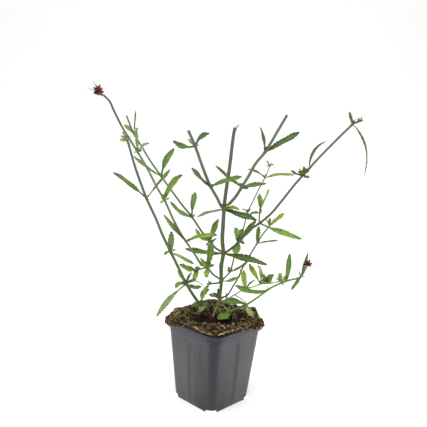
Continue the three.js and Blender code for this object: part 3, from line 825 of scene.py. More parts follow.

for _ in range(FIBRES):
    x, y = on_soil(1.0)
    shade = shade_of(x, y)
    coarse = draw.random() ** 3
    long = draw.uniform(3, 7) + 7 * coarse
    line = fibre_line(x, y, long, draw.gauss(0, 1.7), draw.uniform(0.1, 1.3) + 0.9 * coarse)
    radius = draw.uniform(0.11, 0.26) + 0.22 * coarse
    patch = PATCH_STRENGTH * noise.noise(Vector((x, y, 20)) / PATCH_SIZE)
    # The middle tone is lowered by the painted leaf shadow before the crown.
    middle = TONE + 0.0028 * abs(x) + 0.0015 * y + mound(x, y, *PAINTED_LEAF_SHADOW)
    # Painted shade: fibres in the crevice are given a darker tone.
    tone = min(1, max(0.04, draw.gauss(middle, TONE_SPREAD) + patch - 0.5 * shade))
    if draw.random() > 0.9 * shade:
        add_fibre(line, radius, tone)
for _ in range(BRIM_FIBRES):
    bearing = draw.uniform(0, 2 * math.pi)
    x, y = 50 * math.cos(bearing), 50 * math.sin(bearing)
    reach = draw.uniform(0.95, 1.0) / rim_share(x, y)
    line = fibre_line(x * reach, y * reach, draw.uniform(2.5, 6), draw.gauss(0, 2), draw.uniform(0.3, 1.3))
    add_fibre(line, draw.uniform(0.16, 0.34), draw.uniform(0.2, 0.75))
    if draw.random() < 0.6:
        spot = (line[0][0], line[0][1], line[0][2] + 0.3)
        add_lump(crumb, spot, draw.uniform(0.6, 1.4), draw.uniform(0.05, 0.5))
for kind, count, low, high in ((crumb, CRUMBS, 0.35, 1.0), (lump, LUMPS, 1.0, 2.3)):
    for _ in range(count):
        x, y = on_soil(0.99)
        size = draw.uniform(low, high)
        spot = (x, y, soil_top(x, y) + 0.15 * size)
        # Painted shade: crumbs in the crevice are given a darker tone.
        add_lump(kind, spot, size, draw.uniform(0.02, 0.36) * (1 - 0.7 * shade_of(x, y)))
print("peat:", len(peat_heap.points), "pieces")

# %% Soil: peat that hangs over the left and right corners of the lip
LIP_ARC = 14                         # radius of the lip's corner
SPILL_TOP = 2.5                      # above the lip

arc_middle = (LIP_HALF - LIP_ARC) * math.sqrt(2)
for hand, count, low, high, deep in ((-1, 150, -30, 8, 7.6), (1, 110, -32, 9, 4.8)):
    for _ in range(count):
        y = low + (high - low) * draw.random() ** 0.6
        reach = smoothstep(y, low - 2, low + 24)
        z = POT_HEIGHT + SPILL_TOP - (SPILL_TOP + (deep - SPILL_TOP) * reach) * draw.random() ** 1.3
        round_part = arc_middle + math.sqrt(max(0, LIP_ARC ** 2 - y * y))
        straight_part = LIP_HALF * math.sqrt(2) - abs(y)
        out = draw.uniform(0.1, 1.1) if z < POT_HEIGHT + 0.5 else draw.uniform(-4, 0.7)
        x = hand * ((round_part if abs(y) < LIP_ARC / math.sqrt(2) else straight_part) + out)
        add_lump(lump, (x, y, z), draw.uniform(0.6, 1.7), draw.uniform(0.1, 0.6))
        slide = 0.5 * draw.uniform(-1, 1)
        line = [(x - hand * (1.5 - 0.4 * i), y + slide * i, z + 2 - 0.6 * i) for i in range(FIBRE_CUTS + 1)]
        add_fibre(line, 0.25, draw.uniform(0.25, 0.85))
print("peat with the spill:", len(peat_heap.points), "pieces")


# %% [markdown]
# Peat is a mix of near black humus and straw-coloured fibres. Each fibre and crumb carries its own tone,
# and one ramp turns it into a colour, with noise to break up even a single fibre.

# %% Soil: peat
def peat():
    finish = Finish("peat", Roughness=0.95, Specular_IOR_Level=0.15)
    mixed = finish.mottled(finish.noise(420, 4), 0.2, 0.8, 0.16)
    colour = finish.ramp(
        mixed, (0.0, "#140e0b"), (0.2, "#2c2216"), (0.42, "#58492b"), (0.62, "#887342"), (0.85, "#bba772"),
        (1.0, "#dccfa6"),
    )
    plum = finish.between(finish.noise(110, 3), 0.44, 0.6, 0.0, 0.85)
    colour = finish.mix(finish.math("MULTIPLY", plum, finish.between(mixed, 0.7, 0.3)), colour, "#38242a")
    return finish.done(colour, finish.bump(finish.noise(900, 4), 0.0006))


finish_piece(peat_heap.build("peat_heap"), "peat_heap", ["soil"], [peat()])

# %% [markdown]
# ## The plant's skeleton
# A leafy stem is made of one or more lines of stations, each from its root to its tip, and leaves sit at
# some stations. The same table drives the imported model, so every stem and leaf made here lies where its
# solid is. A leaf leaves its stem on the bearing `turn`, climbs at `rise`, bends down through `droop` by
# its tip, and has its own length, width, twist and colour. A table is the right form, because every line
# of it can be changed without a look at the rest.

# %% Leaf and stem entries
DEEP, DARK, GREEN, FRESH, LIME = 0.08, 0.28, 0.48, 0.68, 0.92


def leaf(turn, rise, droop, long, wide, tone=GREEN, twist=0, pale=0.0, dusk=0.0, stalked=False):
    """One leaf. `stalked` picks one whose blade starts a quarter of the way out, on a thin stalk."""
    return dict(
        turn=turn, rise=rise, droop=droop, long=long, wide=wide, tone=tone, twist=twist, pale=pale, dusk=dusk,
        stalked=stalked,
    )


STEMS = {}


def stem(node, wide, path, tone=0.5, pale=0.0, dusk=0.0, pale_from=0, dusk_from=0, cut=False):
    """Adds a stem to its node. `wide` is its thickness from root to tip, `cut` says it was cut off flat."""
    STEMS.setdefault(node, []).append(dict(
        wide=wide, path=path, tone=tone, pale=pale, dusk=dusk, pale_from=pale_from, dusk_from=dusk_from,
        cut=cut,
    ))


# %% The main stem
stem("stem_main", (3.2, 3.3, 4.6, 4.9, 4.3, 3.8), [
    (3, 3, 84), (3, 3, 103),
    (2.6, 3, 113, leaf(200, 50, 60, 11, 4, DARK), leaf(-35, 12, 75, 13, 3, 0, dusk=0.3)),
    (4.4, 3, 123, leaf(150, 35, 50, 16, 7, DARK, pale=0.5),
     leaf(165, 84, 10, 13, 5, LIME, pale=0.5, dusk=0.8), leaf(205, 58, 20, 12, 4, DARK, dusk=0.3)),
    (5.2, 2, 135),
    (5.3, 2, 146, leaf(-25, 4, -36, 26, 7, FRESH, stalked=True)),
    (4.4, 2, 164, leaf(-105, 37, -23, 10, 4, DARK)),
    (6, 1, 180, leaf(-163, 1, -14, 47, 10, DARK), leaf(6, -9, 8, 55, 12, DARK)),
    (4, 0, 196), (4, 0, 218),
    (4, -1, 233, leaf(162, -12, 16, 35, 7, DARK, pale=0.6, dusk=0.2), leaf(-20, -10, 4, 41, 11, DEEP),
     leaf(-32, 29, 46, 21, 7, LIME + 0.05), leaf(-58, 55, 50, 12, 5, LIME)),
    (5, -2, 251), (8, -3, 284), (10, -4, 315), (11.3, -5, 327.5),
], tone=0.55, pale=1.0, pale_from=180, cut=True)
stem("stem_main", (2.2, 0.9), [
    (12, -5, 323.5), (13.4, -5.2, 328.2), (16.2, -5.5, 330.6),
], tone=0.35, pale=0.8)
stem("stem_main", (2.0, 1.7), [
    (6, 2, 146), (1, 0, 143.5), (-4, -2, 143.5),
    (-9, -4, 143, leaf(-150, -45, 35, 21, 8.5, 0.78, dusk=0.1)),
], tone=0.2, dusk=0.6)
stem("stem_main", (1.3, 1.6, 1.1), [
    (2.6, 0.2, 112), (2.2, 0.2, 117), (1.5, 0.6, 122),
], tone=0.95, pale=0.9)
stem("stem_main", (1.2, 0.9), [(5, 1, 117), (9, -2, 117), (13.6, -4, 113), (15.7, -5, 107)], tone=1.0)
stem("stem_main", (2.2, 1.6), [(2, 1.5, 114), (-0.5, -1.5, 109), (-2.5, -4, 103)], tone=0.6)
stem("stem_main", (1.8, 1.3), [(4, 1.5, 112), (6.5, -2, 108), (6.5, -5, 103)], tone=0.7)
stem("stem_main", (2.4, 1.8), [(7, 4, 123), (9.5, 3.5, 126.5)], tone=0.1, dusk=0.5)

# %% The left stem from the base
stem("stem_basal_left", (3.5, 3.4, 3.3, 3.2, 3.1, 3.0, 2.9, 2.8, 2.7, 2.6, 2.4, 1.5), [
    (-9, 8, 86), (-9, 8, 97), (-9, 8, 105.5),
    (-12.5, 4.5, 110, leaf(-130, 20, 80, 11, 5, FRESH, pale=0.3)),
    (-18, -1, 116, leaf(-42, 82, 42, 26, 8, FRESH), leaf(-78, -5, 30, 11, 8, FRESH, pale=0.2),
     leaf(-149, 14, 34, 12, 5, GREEN), leaf(-33, 41, 51, 12, 5, GREEN, pale=0.1)),
    (-27.8, -3, 129),
    (-36, -4, 142, leaf(-139, -24, 28, 53, 9, 0.6, pale=0.3, stalked=True),
     leaf(-165, 30, 100, 16, 8, FRESH), leaf(-129, 51, 0, 24, 8, FRESH),
     leaf(45, 81, 49, 16, 4, 0.65, pale=0.2), leaf(35, 36, 39, 15, 5, 0.85, pale=0.4),
     leaf(-6, -36, -61, 19, 8, 0.85, pale=0.4)),
    (-47, -2, 162),
    (-56, 1, 178, leaf(97, 75, 8, 25, 8, GREEN, pale=0.2), leaf(-23, -14, 7, 32, 6.2, 0.85, pale=0.3),
     leaf(-135, 37, 94, 11, 5, GREEN)),
    (-67, 4, 198), (-75, 7, 215),
    (-88, 10, 240, leaf(-165, 43, 12, 49, 9.5, GREEN, stalked=True),
     leaf(21, 53, 4, 44, 7.4, GREEN, dusk=0.1, stalked=True)),
    (-101, 13, 271), (-106, 14, 285),
    (-113.2, 16, 306, leaf(-119, 21, -57, 7, 4, LIME, pale=0.7), leaf(66, -38, 36, 8, 4, LIME, pale=0.7)),
    (-119, 17, 316),
], tone=0.6, pale=0.9, pale_from=170, cut=True)
stem("stem_basal_left", (1.2, 0.9), [
    (-36, -4, 142), (-29, -6, 145.5), (-24, -7, 146.8), (-19, -7, 144), (-15, -6, 140.5),
], tone=0.3, dusk=0.3)
stem("stem_basal_left", (0.9, 0.6), [
    (-36, -4, 142), (-34.3, -5, 148.5), (-31.4, -6, 156),
], tone=0.3, dusk=0.3)

# %% The other stems from the base
stem("stem_trailing", (2.1, 1.6), [
    (16, 2, 86), (16, 2, 97), (16, 2, 104.5),
    (18.5, -2, 109, leaf(-150, -27, -20, 19, 12, FRESH)),
    (27, -8, 117),
    (36, -13, 123, leaf(-162, 28, 41, 33, 11, DARK), leaf(-46, -62, -40, 17, 7, 0.95, pale=0.5)),
    (50, -22, 137),
    (58, -27, 146, leaf(-162, -14, -50, 41, 9.5, GREEN)),
    (64, -32, 152),
    (77, -39, 161, leaf(66, 64, -28, 31, 7, FRESH)),
    (92, -44, 168, leaf(-133, -34, 5, 20, 5, GREEN), leaf(53, 59, -8, 28, 4, GREEN, dusk=0.5)),
    (94, -45, 172), (95.6, -45.6, 176), (97.2, -46, 180),
], tone=0.8, pale=0.1, dusk=0.5, dusk_from=135)
stem("stem_basal_right", (1.8, 1.4), [
    (4, 3, 123), (9, 0, 121.5), (17, -1, 127), (28, -2, 135),
    (34, -3, 139, leaf(101, 59, 0, 23, 6.6, 1.0), leaf(-141, 72, 6, 27, 6, 0.95),
     leaf(40, 45, 32, 19, 3, FRESH)),
    (46, -3, 143),
    (52, -3, 146, leaf(151, 53, 1, 27, 7.4, 0.95, stalked=True),
     leaf(-133, 100, 50, 25, 7, 0.92, pale=0.1)),
    (59, -3, 147, leaf(-65, 62, 40, 14, 10, FRESH, 40), leaf(160, 72, 20, 12, 9, FRESH, 20),
     leaf(20, 68, 10, 12, 8, GREEN, 30), leaf(-110, 40, 30, 11, 8, 0.8),
     leaf(30, 50, 0, 14, 5, GREEN, dusk=0.7)),
    (67, -2, 148),
    (76, -1, 150, leaf(110, 60, -20, 10, 5.5, LIME, pale=0.6), leaf(-61, -28, 2, 6, 4, LIME, pale=0.3)),
], tone=0.9)
stem("stem_basal_right", (1.1, 0.9), [(22, -1, 130.5), (27, -5, 129), (34, -8, 125)], tone=0.4, dusk=0.6)
stem("stem_back", (1.8, 1.4), [
    (4, 3, 123), (9, 6, 124.5), (14, 9, 127), (21, 14, 138), (26, 16, 147), (32, 20, 161),
    (47, 27, 188, leaf(78, 60, -17, 22, 6, GREEN), leaf(20, 13, 12, 29, 4, DARK, dusk=0.4)),
    (53, 31, 198),
    (62, 35, 210, leaf(19, 42, 4, 24, 8, 0.86), leaf(-134, 51, 4, 11, 4, FRESH, pale=0.2),
     leaf(91, 63, 6, 10, 4, GREEN)),
], tone=0.3, pale=0.6)
stem("stem_back", (2.2, 1.6), [(13, 8.5, 126.5), (12.5, 6, 129)], tone=0.1, dusk=0.6)
stem("stem_back", (2.0, 1.4), [(12.5, 8, 125), (14, 5, 122.5)], tone=0.1, dusk=0.6)

# %% The low branches
stem("branch_low_left", (2.5, 1.7), [
    (6, 2, 146), (2, -1, 150), (-5, -4, 155),
    (-12, -7, 164, leaf(-64, 72, -4, 36, 10, FRESH, 50), leaf(-100, -60, 10, 12, 7, LIME),
     leaf(-145, 46, -6, 16, 7, LIME), leaf(50, 11, 4, 12, 6, LIME)),
    (-20, -10, 169), (-26, -15, 179),
    (-38, -21, 197, leaf(-158, 46, -6, 41, 7.5, 0.72, pale=0.3), leaf(-22, 32, 29, 40, 9.5, FRESH)),
    (-47, -26, 212), (-53, -30, 224),
    (-62.4, -36.7, 245, leaf(-28, 79, 49, 38, 7.8, FRESH + 0.07, 50),
     leaf(-112, 12, 55, 9, 4, LIME, pale=0.7), leaf(56, 8, -17, 8, 4, LIME, pale=0.5)),
    (-71, -42, 260), (-81, -48, 280),
    (-91, -53, 297, leaf(120, 76, 2, 27, 4.2, 0.75, 30), leaf(-32, 63, 56, 19, 5, FRESH, 25, pale=0.8)),
    (-101, -58, 313), (-107, -61, 323), (-115, -65, 339), (-119, -68, 348), (-125, -70, 354),
], tone=0.7, pale=0.5, dusk=1.0, dusk_from=290)
stem("branch_low_left", (1.7, 1.3), [
    (-12, -7, 164),
    (-23, -10, 161.5, leaf(-125, -40, 40, 13, 8, 0.85)),
    (-25, -12, 161.5, leaf(-165, 8, -25, 21, 10, 0.65)),
], tone=0.3, dusk=0.1)
stem("branch_low_right", (1.7, 1.5, 1.3, 1.15, 1.0, 0.9), [
    (6, 2, 146), (9, 5, 149),
    (15, 7, 156, leaf(106, 39, -2, 8, 4, LIME), leaf(25, 14, -25, 27, 5, GREEN, pale=0.3)),
    (19, 10, 171),
    (23, 13, 193, leaf(-117, 58, -11, 20, 10.5, 0.8), leaf(56, 57, 3, 17, 9, 0.75),
     leaf(27, 40, -14, 34, 9.5, DARK), leaf(-104, -57, -25, 18, 11, 0.82, pale=0.2)),
    (29, 17, 209),
    (33, 21, 227, leaf(-140, 56, 60, 11, 4, GREEN)),
    (39, 24, 241), (47, 28, 259),
    (52, 30, 269, leaf(-160, 43, 38, 26, 5, DARK), leaf(15, 22, 30, 38, 7.5, 0.8)),
    (55, 32, 276),
    (57, 33, 283, leaf(180, 69, 15, 8, 2.5, GREEN, dusk=0.4), leaf(0, 46, 44, 6, 2.5, GREEN, dusk=0.4)),
], tone=0.5, pale=0.6, dusk=0.4, dusk_from=235)

# %% The branches in the middle
stem("branch_mid_left", (2.2, 1.8), [
    (6, 1, 180), (2, 4, 182), (-4, 7, 185),
    (-11, 11, 192, leaf(-33, 74, 11, 30, 8.5, 0.6, 40), leaf(170, 8, -59, 23, 7, LIME),
     leaf(-30, 8, -38, 11, 4, FRESH), leaf(-132, -41, 20, 7, 4, FRESH)),
    (-20, 15, 201),
    (-34, 23, 218, leaf(-159, 14, -41, 34, 9, 0.55, pale=0.2),
     leaf(73, 93, 38, 31, 8.5, 0.52, pale=0.1, stalked=True)),
    (-46, 31, 230), (-61, 39, 247),
    (-75, 47, 263, leaf(-170, 28, -13, 42, 6.4, GREEN, pale=0.2),
     leaf(29, 84, 38, 39, 9, 0.4, 25, stalked=True)),
    (-91, 56, 282), (-103, 62, 299),
    (-113, 66, 313, leaf(150, 44, 17, 19, 7, 0.75, pale=0.2), leaf(0, 57, 0, 9.5, 3, 0.85),
     leaf(-74, 68, -4, 31, 3, DARK, 55, dusk=0.7)),
    (-124, 73, 335),
], tone=0.5, pale=0.6, cut=True)
stem("branch_mid_right", (2.5, 2.0), [
    (6, 1, 180), (10, -3, 183), (17, -7, 190), (24.3, -11, 198.6), (33, -16.5, 211.6),
    (44.8, -23, 222.5, leaf(-19, -19, -9, 50, 10, FRESH + 0.05, stalked=True)),
    (56, -30, 235), (67, -37, 252), (78, -44, 270),
    (86, -50, 282, leaf(-113, 48, -15, 8, 5, FRESH), leaf(-155, -7, -43, 17, 6.5, DARK, dusk=0.8),
     leaf(-60, -33, -43, 10, 5, GREEN)),
    (91, -53, 289, leaf(24, 98, 80, 37, 3.6, DARK, 10, dusk=0.4)),
    (98, -57, 299), (116, -69, 323),
    (127, -77, 337, leaf(116, 63, 3, 14, 3.5, DEEP), leaf(-35, -38, 67, 55, 4, DARK, 98),
     leaf(165, 85, 10, 6, 2.2, FRESH, pale=0.3, dusk=0.7)),
], tone=0.25, pale=0.7, pale_from=225)
stem("branch_mid_right", (1.5, 1.3), [(127, -77, 337), (131, -79, 340)], tone=0.4, pale=0.3)
stem("branch_mid_right", (1.6, 1.4), [
    (44, -23, 223),
    (44, -22, 234, leaf(-151, 20, 50, 13, 5, DARK)),
    (45, -22, 240, leaf(122, 76, 5, 15.5, 6.5, FRESH), leaf(-42, 64, -6, 24, 7, 0.85, pale=0.2)),
], tone=0.5, pale=0.4)

# %% The branches at the top
stem("branch_top_left", (3.0, 2.7), [
    (4, -1, 233), (1, -3, 236), (-5, -7, 247),
    (-13, -11, 260, leaf(-155, 33, -17, 32, 9, DARK, pale=0.3, dusk=0.2),
     leaf(-19, 28, 14, 39, 8.5, GREEN, 20)),
    (-21, -17, 278), (-25, -21, 288),
    (-32, -27, 306, leaf(-161, -20, -60, 26, 11.5, DARK, stalked=True),
     leaf(24, 72, 62, 23, 9, DEEP, dusk=0.1, stalked=True), leaf(151, 28, -26, 11, 4, LIME, pale=0.5)),
    (-39.8, -31, 322),
], tone=0.4, pale=0.9, cut=True)
stem("branch_top_right", (3.1, 2.7), [
    (4, -1, 233), (7, 1, 236), (17, 5.5, 247.5),
    (23.7, 8.6, 259, leaf(169, 31, -9, 40, 7, DARK, dusk=0.2), leaf(25, 11, 7, 33, 7.6, 0.36, 15),
     leaf(-41, -20, -45, 10, 5, DARK)),
    (31.5, 15, 272), (38.8, 20, 286),
    (49.8, 26.3, 300, leaf(-141, 84, 25, 31, 6.5, DEEP, dusk=0.3), leaf(17, 33, 4, 50, 10.5, DEEP, 15),
     leaf(-49, 57, 25, 9, 5, FRESH, pale=0.2), leaf(-80, 70, 10, 8, 5, 0.55, dusk=0.2)),
    (65, 36, 327), (75, 43, 345),
], tone=0.4, pale=0.9, dusk=0.3, dusk_from=300, cut=True)
print("stems:", {node: len(stems) for node, stems in STEMS.items()})

# %% [markdown]
# ## Stems
# A verbena's stem is square, with rounded ribs at its corners and a shallow groove down each side, and it
# swells where leaves join. A curve with a bevel profile is made for exactly this: the profile gives the
# section, each point's radius gives the thickness, and the curve is then converted to a mesh. The line
# through the stations is a centripetal Catmull-Rom curve, which passes through every station and never
# loops.

# %% Stems: the line through the stations
STEM_STEP = 2.2
NODE_SWELL = 0.22
NODE_HALF = 2.2


def smooth_line(stations):
    """Points every few millimetres along the curve, and how far along its stations each one is."""
    knots = np.array([station[:3] for station in stations], float)
    knots = np.vstack([2 * knots[0] - knots[1], knots, 2 * knots[-1] - knots[-2]])
    points, shares = [], []
    spans = len(stations) - 1
    for span in range(spans):
        p = knots[span:span + 4]
        d = [max(1e-4, np.linalg.norm(p[i + 1] - p[i])) ** 0.5 for i in range(3)]
        start = d[1] * ((p[1] - p[0]) / d[0] - (p[2] - p[0]) / (d[0] + d[1]) + (p[2] - p[1]) / d[1])
        end = d[1] * ((p[2] - p[1]) / d[1] - (p[3] - p[1]) / (d[1] + d[2]) + (p[3] - p[2]) / d[2])
        steps = max(2, round(np.linalg.norm(p[2] - p[1]) / STEM_STEP))
        for step in range(steps + (span == spans - 1)):
            t = step / steps
            curve = (-3 * p[1] + 3 * p[2] - 2 * start - end, 2 * p[1] - 2 * p[2] + start + end)
            points.append(p[1] + start * t + curve[0] * t * t + curve[1] * t ** 3)
            shares.append((span + t) / spans)
    return np.array(points), np.array(shares)


# %% Stems: square bevel profile
PROFILE_POINTS = 16

profile = added(bpy.ops.mesh.primitive_circle_add, vertices=PROFILE_POINTS, radius=1)
profile.name = "stem_profile"
for vert in profile.data.vertices:
    bearing = math.atan2(vert.co.y, vert.co.x)
    square = (abs(math.cos(bearing)) ** 6 + abs(math.sin(bearing)) ** 6) ** (-1 / 6)
    groove = 0.08 * math.cos(2 * bearing) ** 2
    vert.co = Vector((math.cos(bearing), math.sin(bearing), 0)) * (square - groove)
bpy.ops.object.convert(target="CURVE")
profile.data.dimensions = "2D"


# %% Stems: one stem as a bevelled curve
STEM_SKIN, LEAF_UPPER, LEAF_UNDER, HAIR, PITH = range(5)


def stem_pattern(spec):
    """Models one stem and returns it as a pattern, with its faces painted."""
    points, shares = smooth_line(spec["path"])
    swollen = np.ones(len(points))
    for station in spec["path"]:
        if len(station) > 3:
            distance = np.linalg.norm(points - np.array(station[:3]), axis=1)
            swollen += NODE_SWELL * np.exp(-(distance / NODE_HALF) ** 2)
    radius = np.interp(shares, np.linspace(0, 1, len(spec["wide"])), spec["wide"]) * swollen / 2
    curve = bpy.data.curves.new("stem", "CURVE")
    curve.dimensions = "3D"
    curve.bevel_mode = "OBJECT"
    curve.bevel_object = profile
    curve.use_fill_caps = True
    spline = curve.splines.new("POLY")
    spline.points.add(len(points) - 1)
    for knot, place, thick in zip(spline.points, points, radius):
        knot.co = (*place, 1)
        knot.radius = thick
    obj = bpy.data.objects.new("stem", curve)
    bpy.context.collection.objects.link(obj)
    choose(obj)
    bpy.ops.object.convert(target="MESH")
    obj = bpy.context.object
    bpy.ops.object.mode_set(mode="EDIT")
    bpy.ops.mesh.select_all(action="SELECT")
    bpy.ops.mesh.remove_doubles(threshold=0.001)
    bpy.ops.mesh.normals_make_consistent(inside=False)
    tip = Vector(points[-1])
    pick(obj, "faces", lambda face: len(face.verts) > 4 and (face.calc_center_median() - tip).length < 1)
    if spec["cut"]:
        wall = 0.22 * spec["wide"][-1]
        bpy.ops.mesh.inset(thickness=wall, depth=0)
        bpy.ops.mesh.inset(thickness=0.05, depth=-wall)
        for face in bmesh.from_edit_mesh(obj.data).faces:
            if face.select:
                face.material_index = PITH
    bpy.ops.object.mode_set(mode="OBJECT")
    return Pattern(obj)


# %% [markdown]
# ## Leaves
# The leaves are lance-shaped, with coarse teeth that point forward, a fold along the midrib, sunken side
# veins with the blade quilted up between them, and wavy edges. Three lengths of leaf are modelled, with a
# short and a long stalk, each in three versions with other waves. A grid is the right start, because it
# already has the rows that become teeth and veins. Its points are set by the leaf's own formula, and
# Solidify gives the blade its thickness.

# %% Leaves: sizes and outline
PETIOLE_SHARE = 0.07         # of the length, without a blade
STALKED_SHARE = 0.24         # the same on a stalked leaf
STALK_WIDE = 0.1             # of the leaf's width, to either side of the midrib
PETIOLE_ROWS = 3
ROWS_A_TOOTH = 4
TOOTH_DEPTH = 0.22
TOOTH_FORWARD = 0.5          # of a row
FOLD = 0.4
WAVE = 0.2
QUILT = 0.05
VEIN_SWEEP = 0.9             # of the way to the next tooth, from the midrib to the edge
EDGE_DROOP = 0.1
CHANNEL = 0.9                # a leaf's stalk is a channel
BLADE = 0.4
POINTED = 0.45               # the last part of the blade narrows to a point
POINT_FROM = 0.76


def leaf_row(row, teeth, stalk):
    """Share of the length at a row of the grid, and how far up a tooth it is: 0 in a notch, 1 at a point."""
    beyond = row - PETIOLE_ROWS
    if beyond < 0:
        return stalk * row / PETIOLE_ROWS, 0
    share = stalk + (1 - stalk) * beyond / (teeth * ROWS_A_TOOTH)
    return share, beyond % ROWS_A_TOOTH / (ROWS_A_TOOTH - 1)


def blade_half(share, wide, skew, stalk):
    """Half the width of the leaf, teeth apart. A larger skew moves the widest place further out."""
    u = min(1, max(0, (share - stalk) / (1 - stalk))) ** skew
    fullness = 0.52 if u < 0.5 else 0.42
    shape = max(0, math.sin(math.pi * u)) ** fullness * (1 - POINTED * smoothstep(u, POINT_FROM, 1))
    return wide * max(STALK_WIDE * (1 - 0.75 * smoothstep(u, 0.9, 1)), shape / 2)


# %% Leaves: one pattern
def leaf_pattern(long, wide, teeth, across, phase, skew, stalk):
    """Models a leaf that lies along X, with its upper face up."""
    draw = random.Random(int(100 * (phase + long)))
    sizes = [draw.uniform(0.6, 1.35) for _ in range(2 * teeth + 2)]
    rows = PETIOLE_ROWS + teeth * ROWS_A_TOOTH
    obj = added(bpy.ops.mesh.primitive_grid_add, x_subdivisions=rows, y_subdivisions=across, size=2)
    for vert in obj.data.vertices:
        row = round((vert.co.x + 1) / 2 * rows)
        share, point = leaf_row(row, teeth, stalk)
        hand = vert.co.y
        edge = abs(hand)
        along = (row - PETIOLE_ROWS) / ROWS_A_TOOTH
        smooth = blade_half(share, wide, skew, stalk)
        full = smoothstep(smooth, STALK_WIDE * wide, wide / 3)
        size = sizes[2 * max(0, int(along)) + (hand > 0)]
        half = smooth * (1 - TOOTH_DEPTH * size * (1 - point) * smoothstep(edge, 0.55, 1) * full)
        forward = TOOTH_FORWARD * point * edge ** 4 * full * (1 - stalk) / (teeth * ROWS_A_TOOTH)
        valley = math.sqrt(edge ** 2 + 0.02) - 0.14     # 0 at the midrib and rounded there
        lift = half * FOLD * (valley - 0.45) * full - half * CHANNEL * (1 - edge ** 2) * (1 - full)
        lift += half * WAVE * edge ** 2 * math.sin(9 * share + phase + (1 if hand > 0 else -1)) * full
        lift -= half * EDGE_DROOP * edge ** 6 * full
        quilt = math.cos(2 * math.pi * (along - VEIN_SWEEP * edge))
        lift -= wide * QUILT * quilt * full * math.sin(math.pi * edge)
        vert.co = ((share + forward) * long, hand * half, lift)
    for corner in obj.data.uv_layers.active.data:
        corner.uv.x = (corner.uv.x * rows - PETIOLE_ROWS) / ROWS_A_TOOTH
    apply_modifier(obj, "SOLIDIFY", thickness=BLADE, offset=-1)
    paints = [LEAF_UPPER if p.normal.z > 0.05 else LEAF_UNDER for p in obj.data.polygons]
    return Pattern(obj, paints)


LEAF_SIZES = {"long": (44, 10, 10, 8), "middling": (24, 8, 6, 6), "small": (11, 4.5, 3, 4)}
leaf_patterns = {
    (name, stalked): [leaf_pattern(*size, *kind, share) for kind in ((0.4, 0.95), (2.3, 1.1), (4.5, 1.25))]
    for name, size in LEAF_SIZES.items()
    for stalked, share in ((False, PETIOLE_SHARE), (True, STALKED_SHARE))
}
print("leaf patterns:", {name: len(found[0].faces) for name, found in leaf_patterns.items()}, "faces")

# %% [markdown]
# A leaf is laid on its own line: an arc in the upright plane of its bearing that starts at `rise` and
# ends `droop` lower. Its upper face rolls part of the way to the light, as leaves do.

# %% Leaves: lay one on its arc
TO_LIGHT = 0.55
LIGHT = np.array((-0.25, -0.75, 0.6))
LIGHT /= np.linalg.norm(LIGHT)


def turn_about(vectors, axes, angles):
    """Turns each vector about its own axis."""
    cos, sin = np.cos(angles)[:, None], np.sin(angles)[:, None]
    return vectors * cos + np.cross(axes, vectors) * sin


def lay_leaf(pattern, size, root, spec):
    """The points of a leaf pattern, laid from a root point along the leaf's arc."""
    nominal_long, nominal_wide = size[:2]
    shares = np.clip(pattern.points[:, 0] / nominal_long, 0, 1)
    beyond = pattern.points[:, 0] / nominal_long - shares
    start = math.radians(spec["rise"])
    bend = math.radians(spec["droop"] if abs(spec["droop"]) >= 1 else 1)
    slope = start - bend * shares
    long = spec["long"]
    reach = long / bend * (math.sin(start) - np.sin(slope)) + beyond * long * np.cos(slope)
    climb = long / bend * (np.cos(slope) - math.cos(start)) + beyond * long * np.sin(slope)
    turn = math.radians(spec["turn"])
    out = np.array((math.cos(turn), math.sin(turn), 0))
    ways = np.outer(np.cos(slope), out) + np.outer(np.sin(slope), (0, 0, 1))
    level = np.broadcast_to((-out[1], out[0], 0), ways.shape)
    lit = LIGHT - ways * (ways @ LIGHT)[:, None]
    roll = np.arctan2(-(lit * level).sum(1), (lit * np.cross(ways, level)).sum(1))
    sides = turn_about(level, ways, TO_LIGHT * roll + math.radians(spec["twist"]))
    ups = np.cross(ways, sides)
    scale = spec["wide"] / nominal_wide
    middle = np.array(root) + np.outer(reach, out) + np.outer(climb, (0, 0, 1))
    return middle + (pattern.points[:, 1:2] * sides + pattern.points[:, 2:3] * ups) * scale


# %% [markdown]
# ## Hairs
# Stems and leaves are rough with short stiff hairs. A hair is a three-sided needle. Hairs are sown evenly
# over the finished skin: a face is drawn by its area, a point is drawn on the face, and the needle is set
# on it upright, leaning a little to one side.

# %% Hairs: pattern and sowing
HAIR_HALF = 0.035
HAIR_LEAN = 0.25
HAIR_SUNK = 0.2              # this share of a hair stands in the skin

needle = added(
    bpy.ops.mesh.primitive_cone_add, vertices=3, radius1=HAIR_HALF, radius2=0, depth=1, location=(0, 0, 0.5)
)
bpy.ops.object.transform_apply(location=True)
hair = Pattern(needle)


def sow_hairs(heap, skin_pattern, points, density, long, seed, paint_as):
    """Adds hairs to a heap, `density` of them on each square millimetre of a laid pattern."""
    draw = np.random.default_rng(seed)
    corners = np.array([points[list(face[:3])] for face in skin_pattern.faces])
    far = np.array([points[face[-1]] for face in skin_pattern.faces])
    normals = np.cross(corners[:, 1] - corners[:, 0], far - corners[:, 0])
    areas = np.linalg.norm(normals, axis=1)
    chosen = draw.choice(len(areas), size=int(areas.sum() * density), p=areas / areas.sum())
    for face in chosen:
        a, b = draw.random(2)
        near = corners[face, 0]
        foot = near + a * (corners[face, 1] - near) + b * (far[face] - near)
        way = normals[face] / areas[face] + draw.normal(0, HAIR_LEAN, 3)
        tip = foot + way / np.linalg.norm(way) * long * draw.uniform(0.5, 1.2)
        line = [foot - (tip - foot) * HAIR_SUNK, tip]
        heap.add(hair, lay_along(hair.points, line, [1, 1]), paint_as=paint_as)


# %% [markdown]
# ## Green finishes
# One ramp holds all the leaf greens, from the deep green of old leaves to the yellow-green of fresh ones,
# and a leaf's `tone` picks its place on it. `pale` washes a leaf out to grey. Side veins are drawn from
# the leaf's own UV map: along it for the spacing, across it for the forward sweep. The underside is
# duller and paler, with the veins standing out.

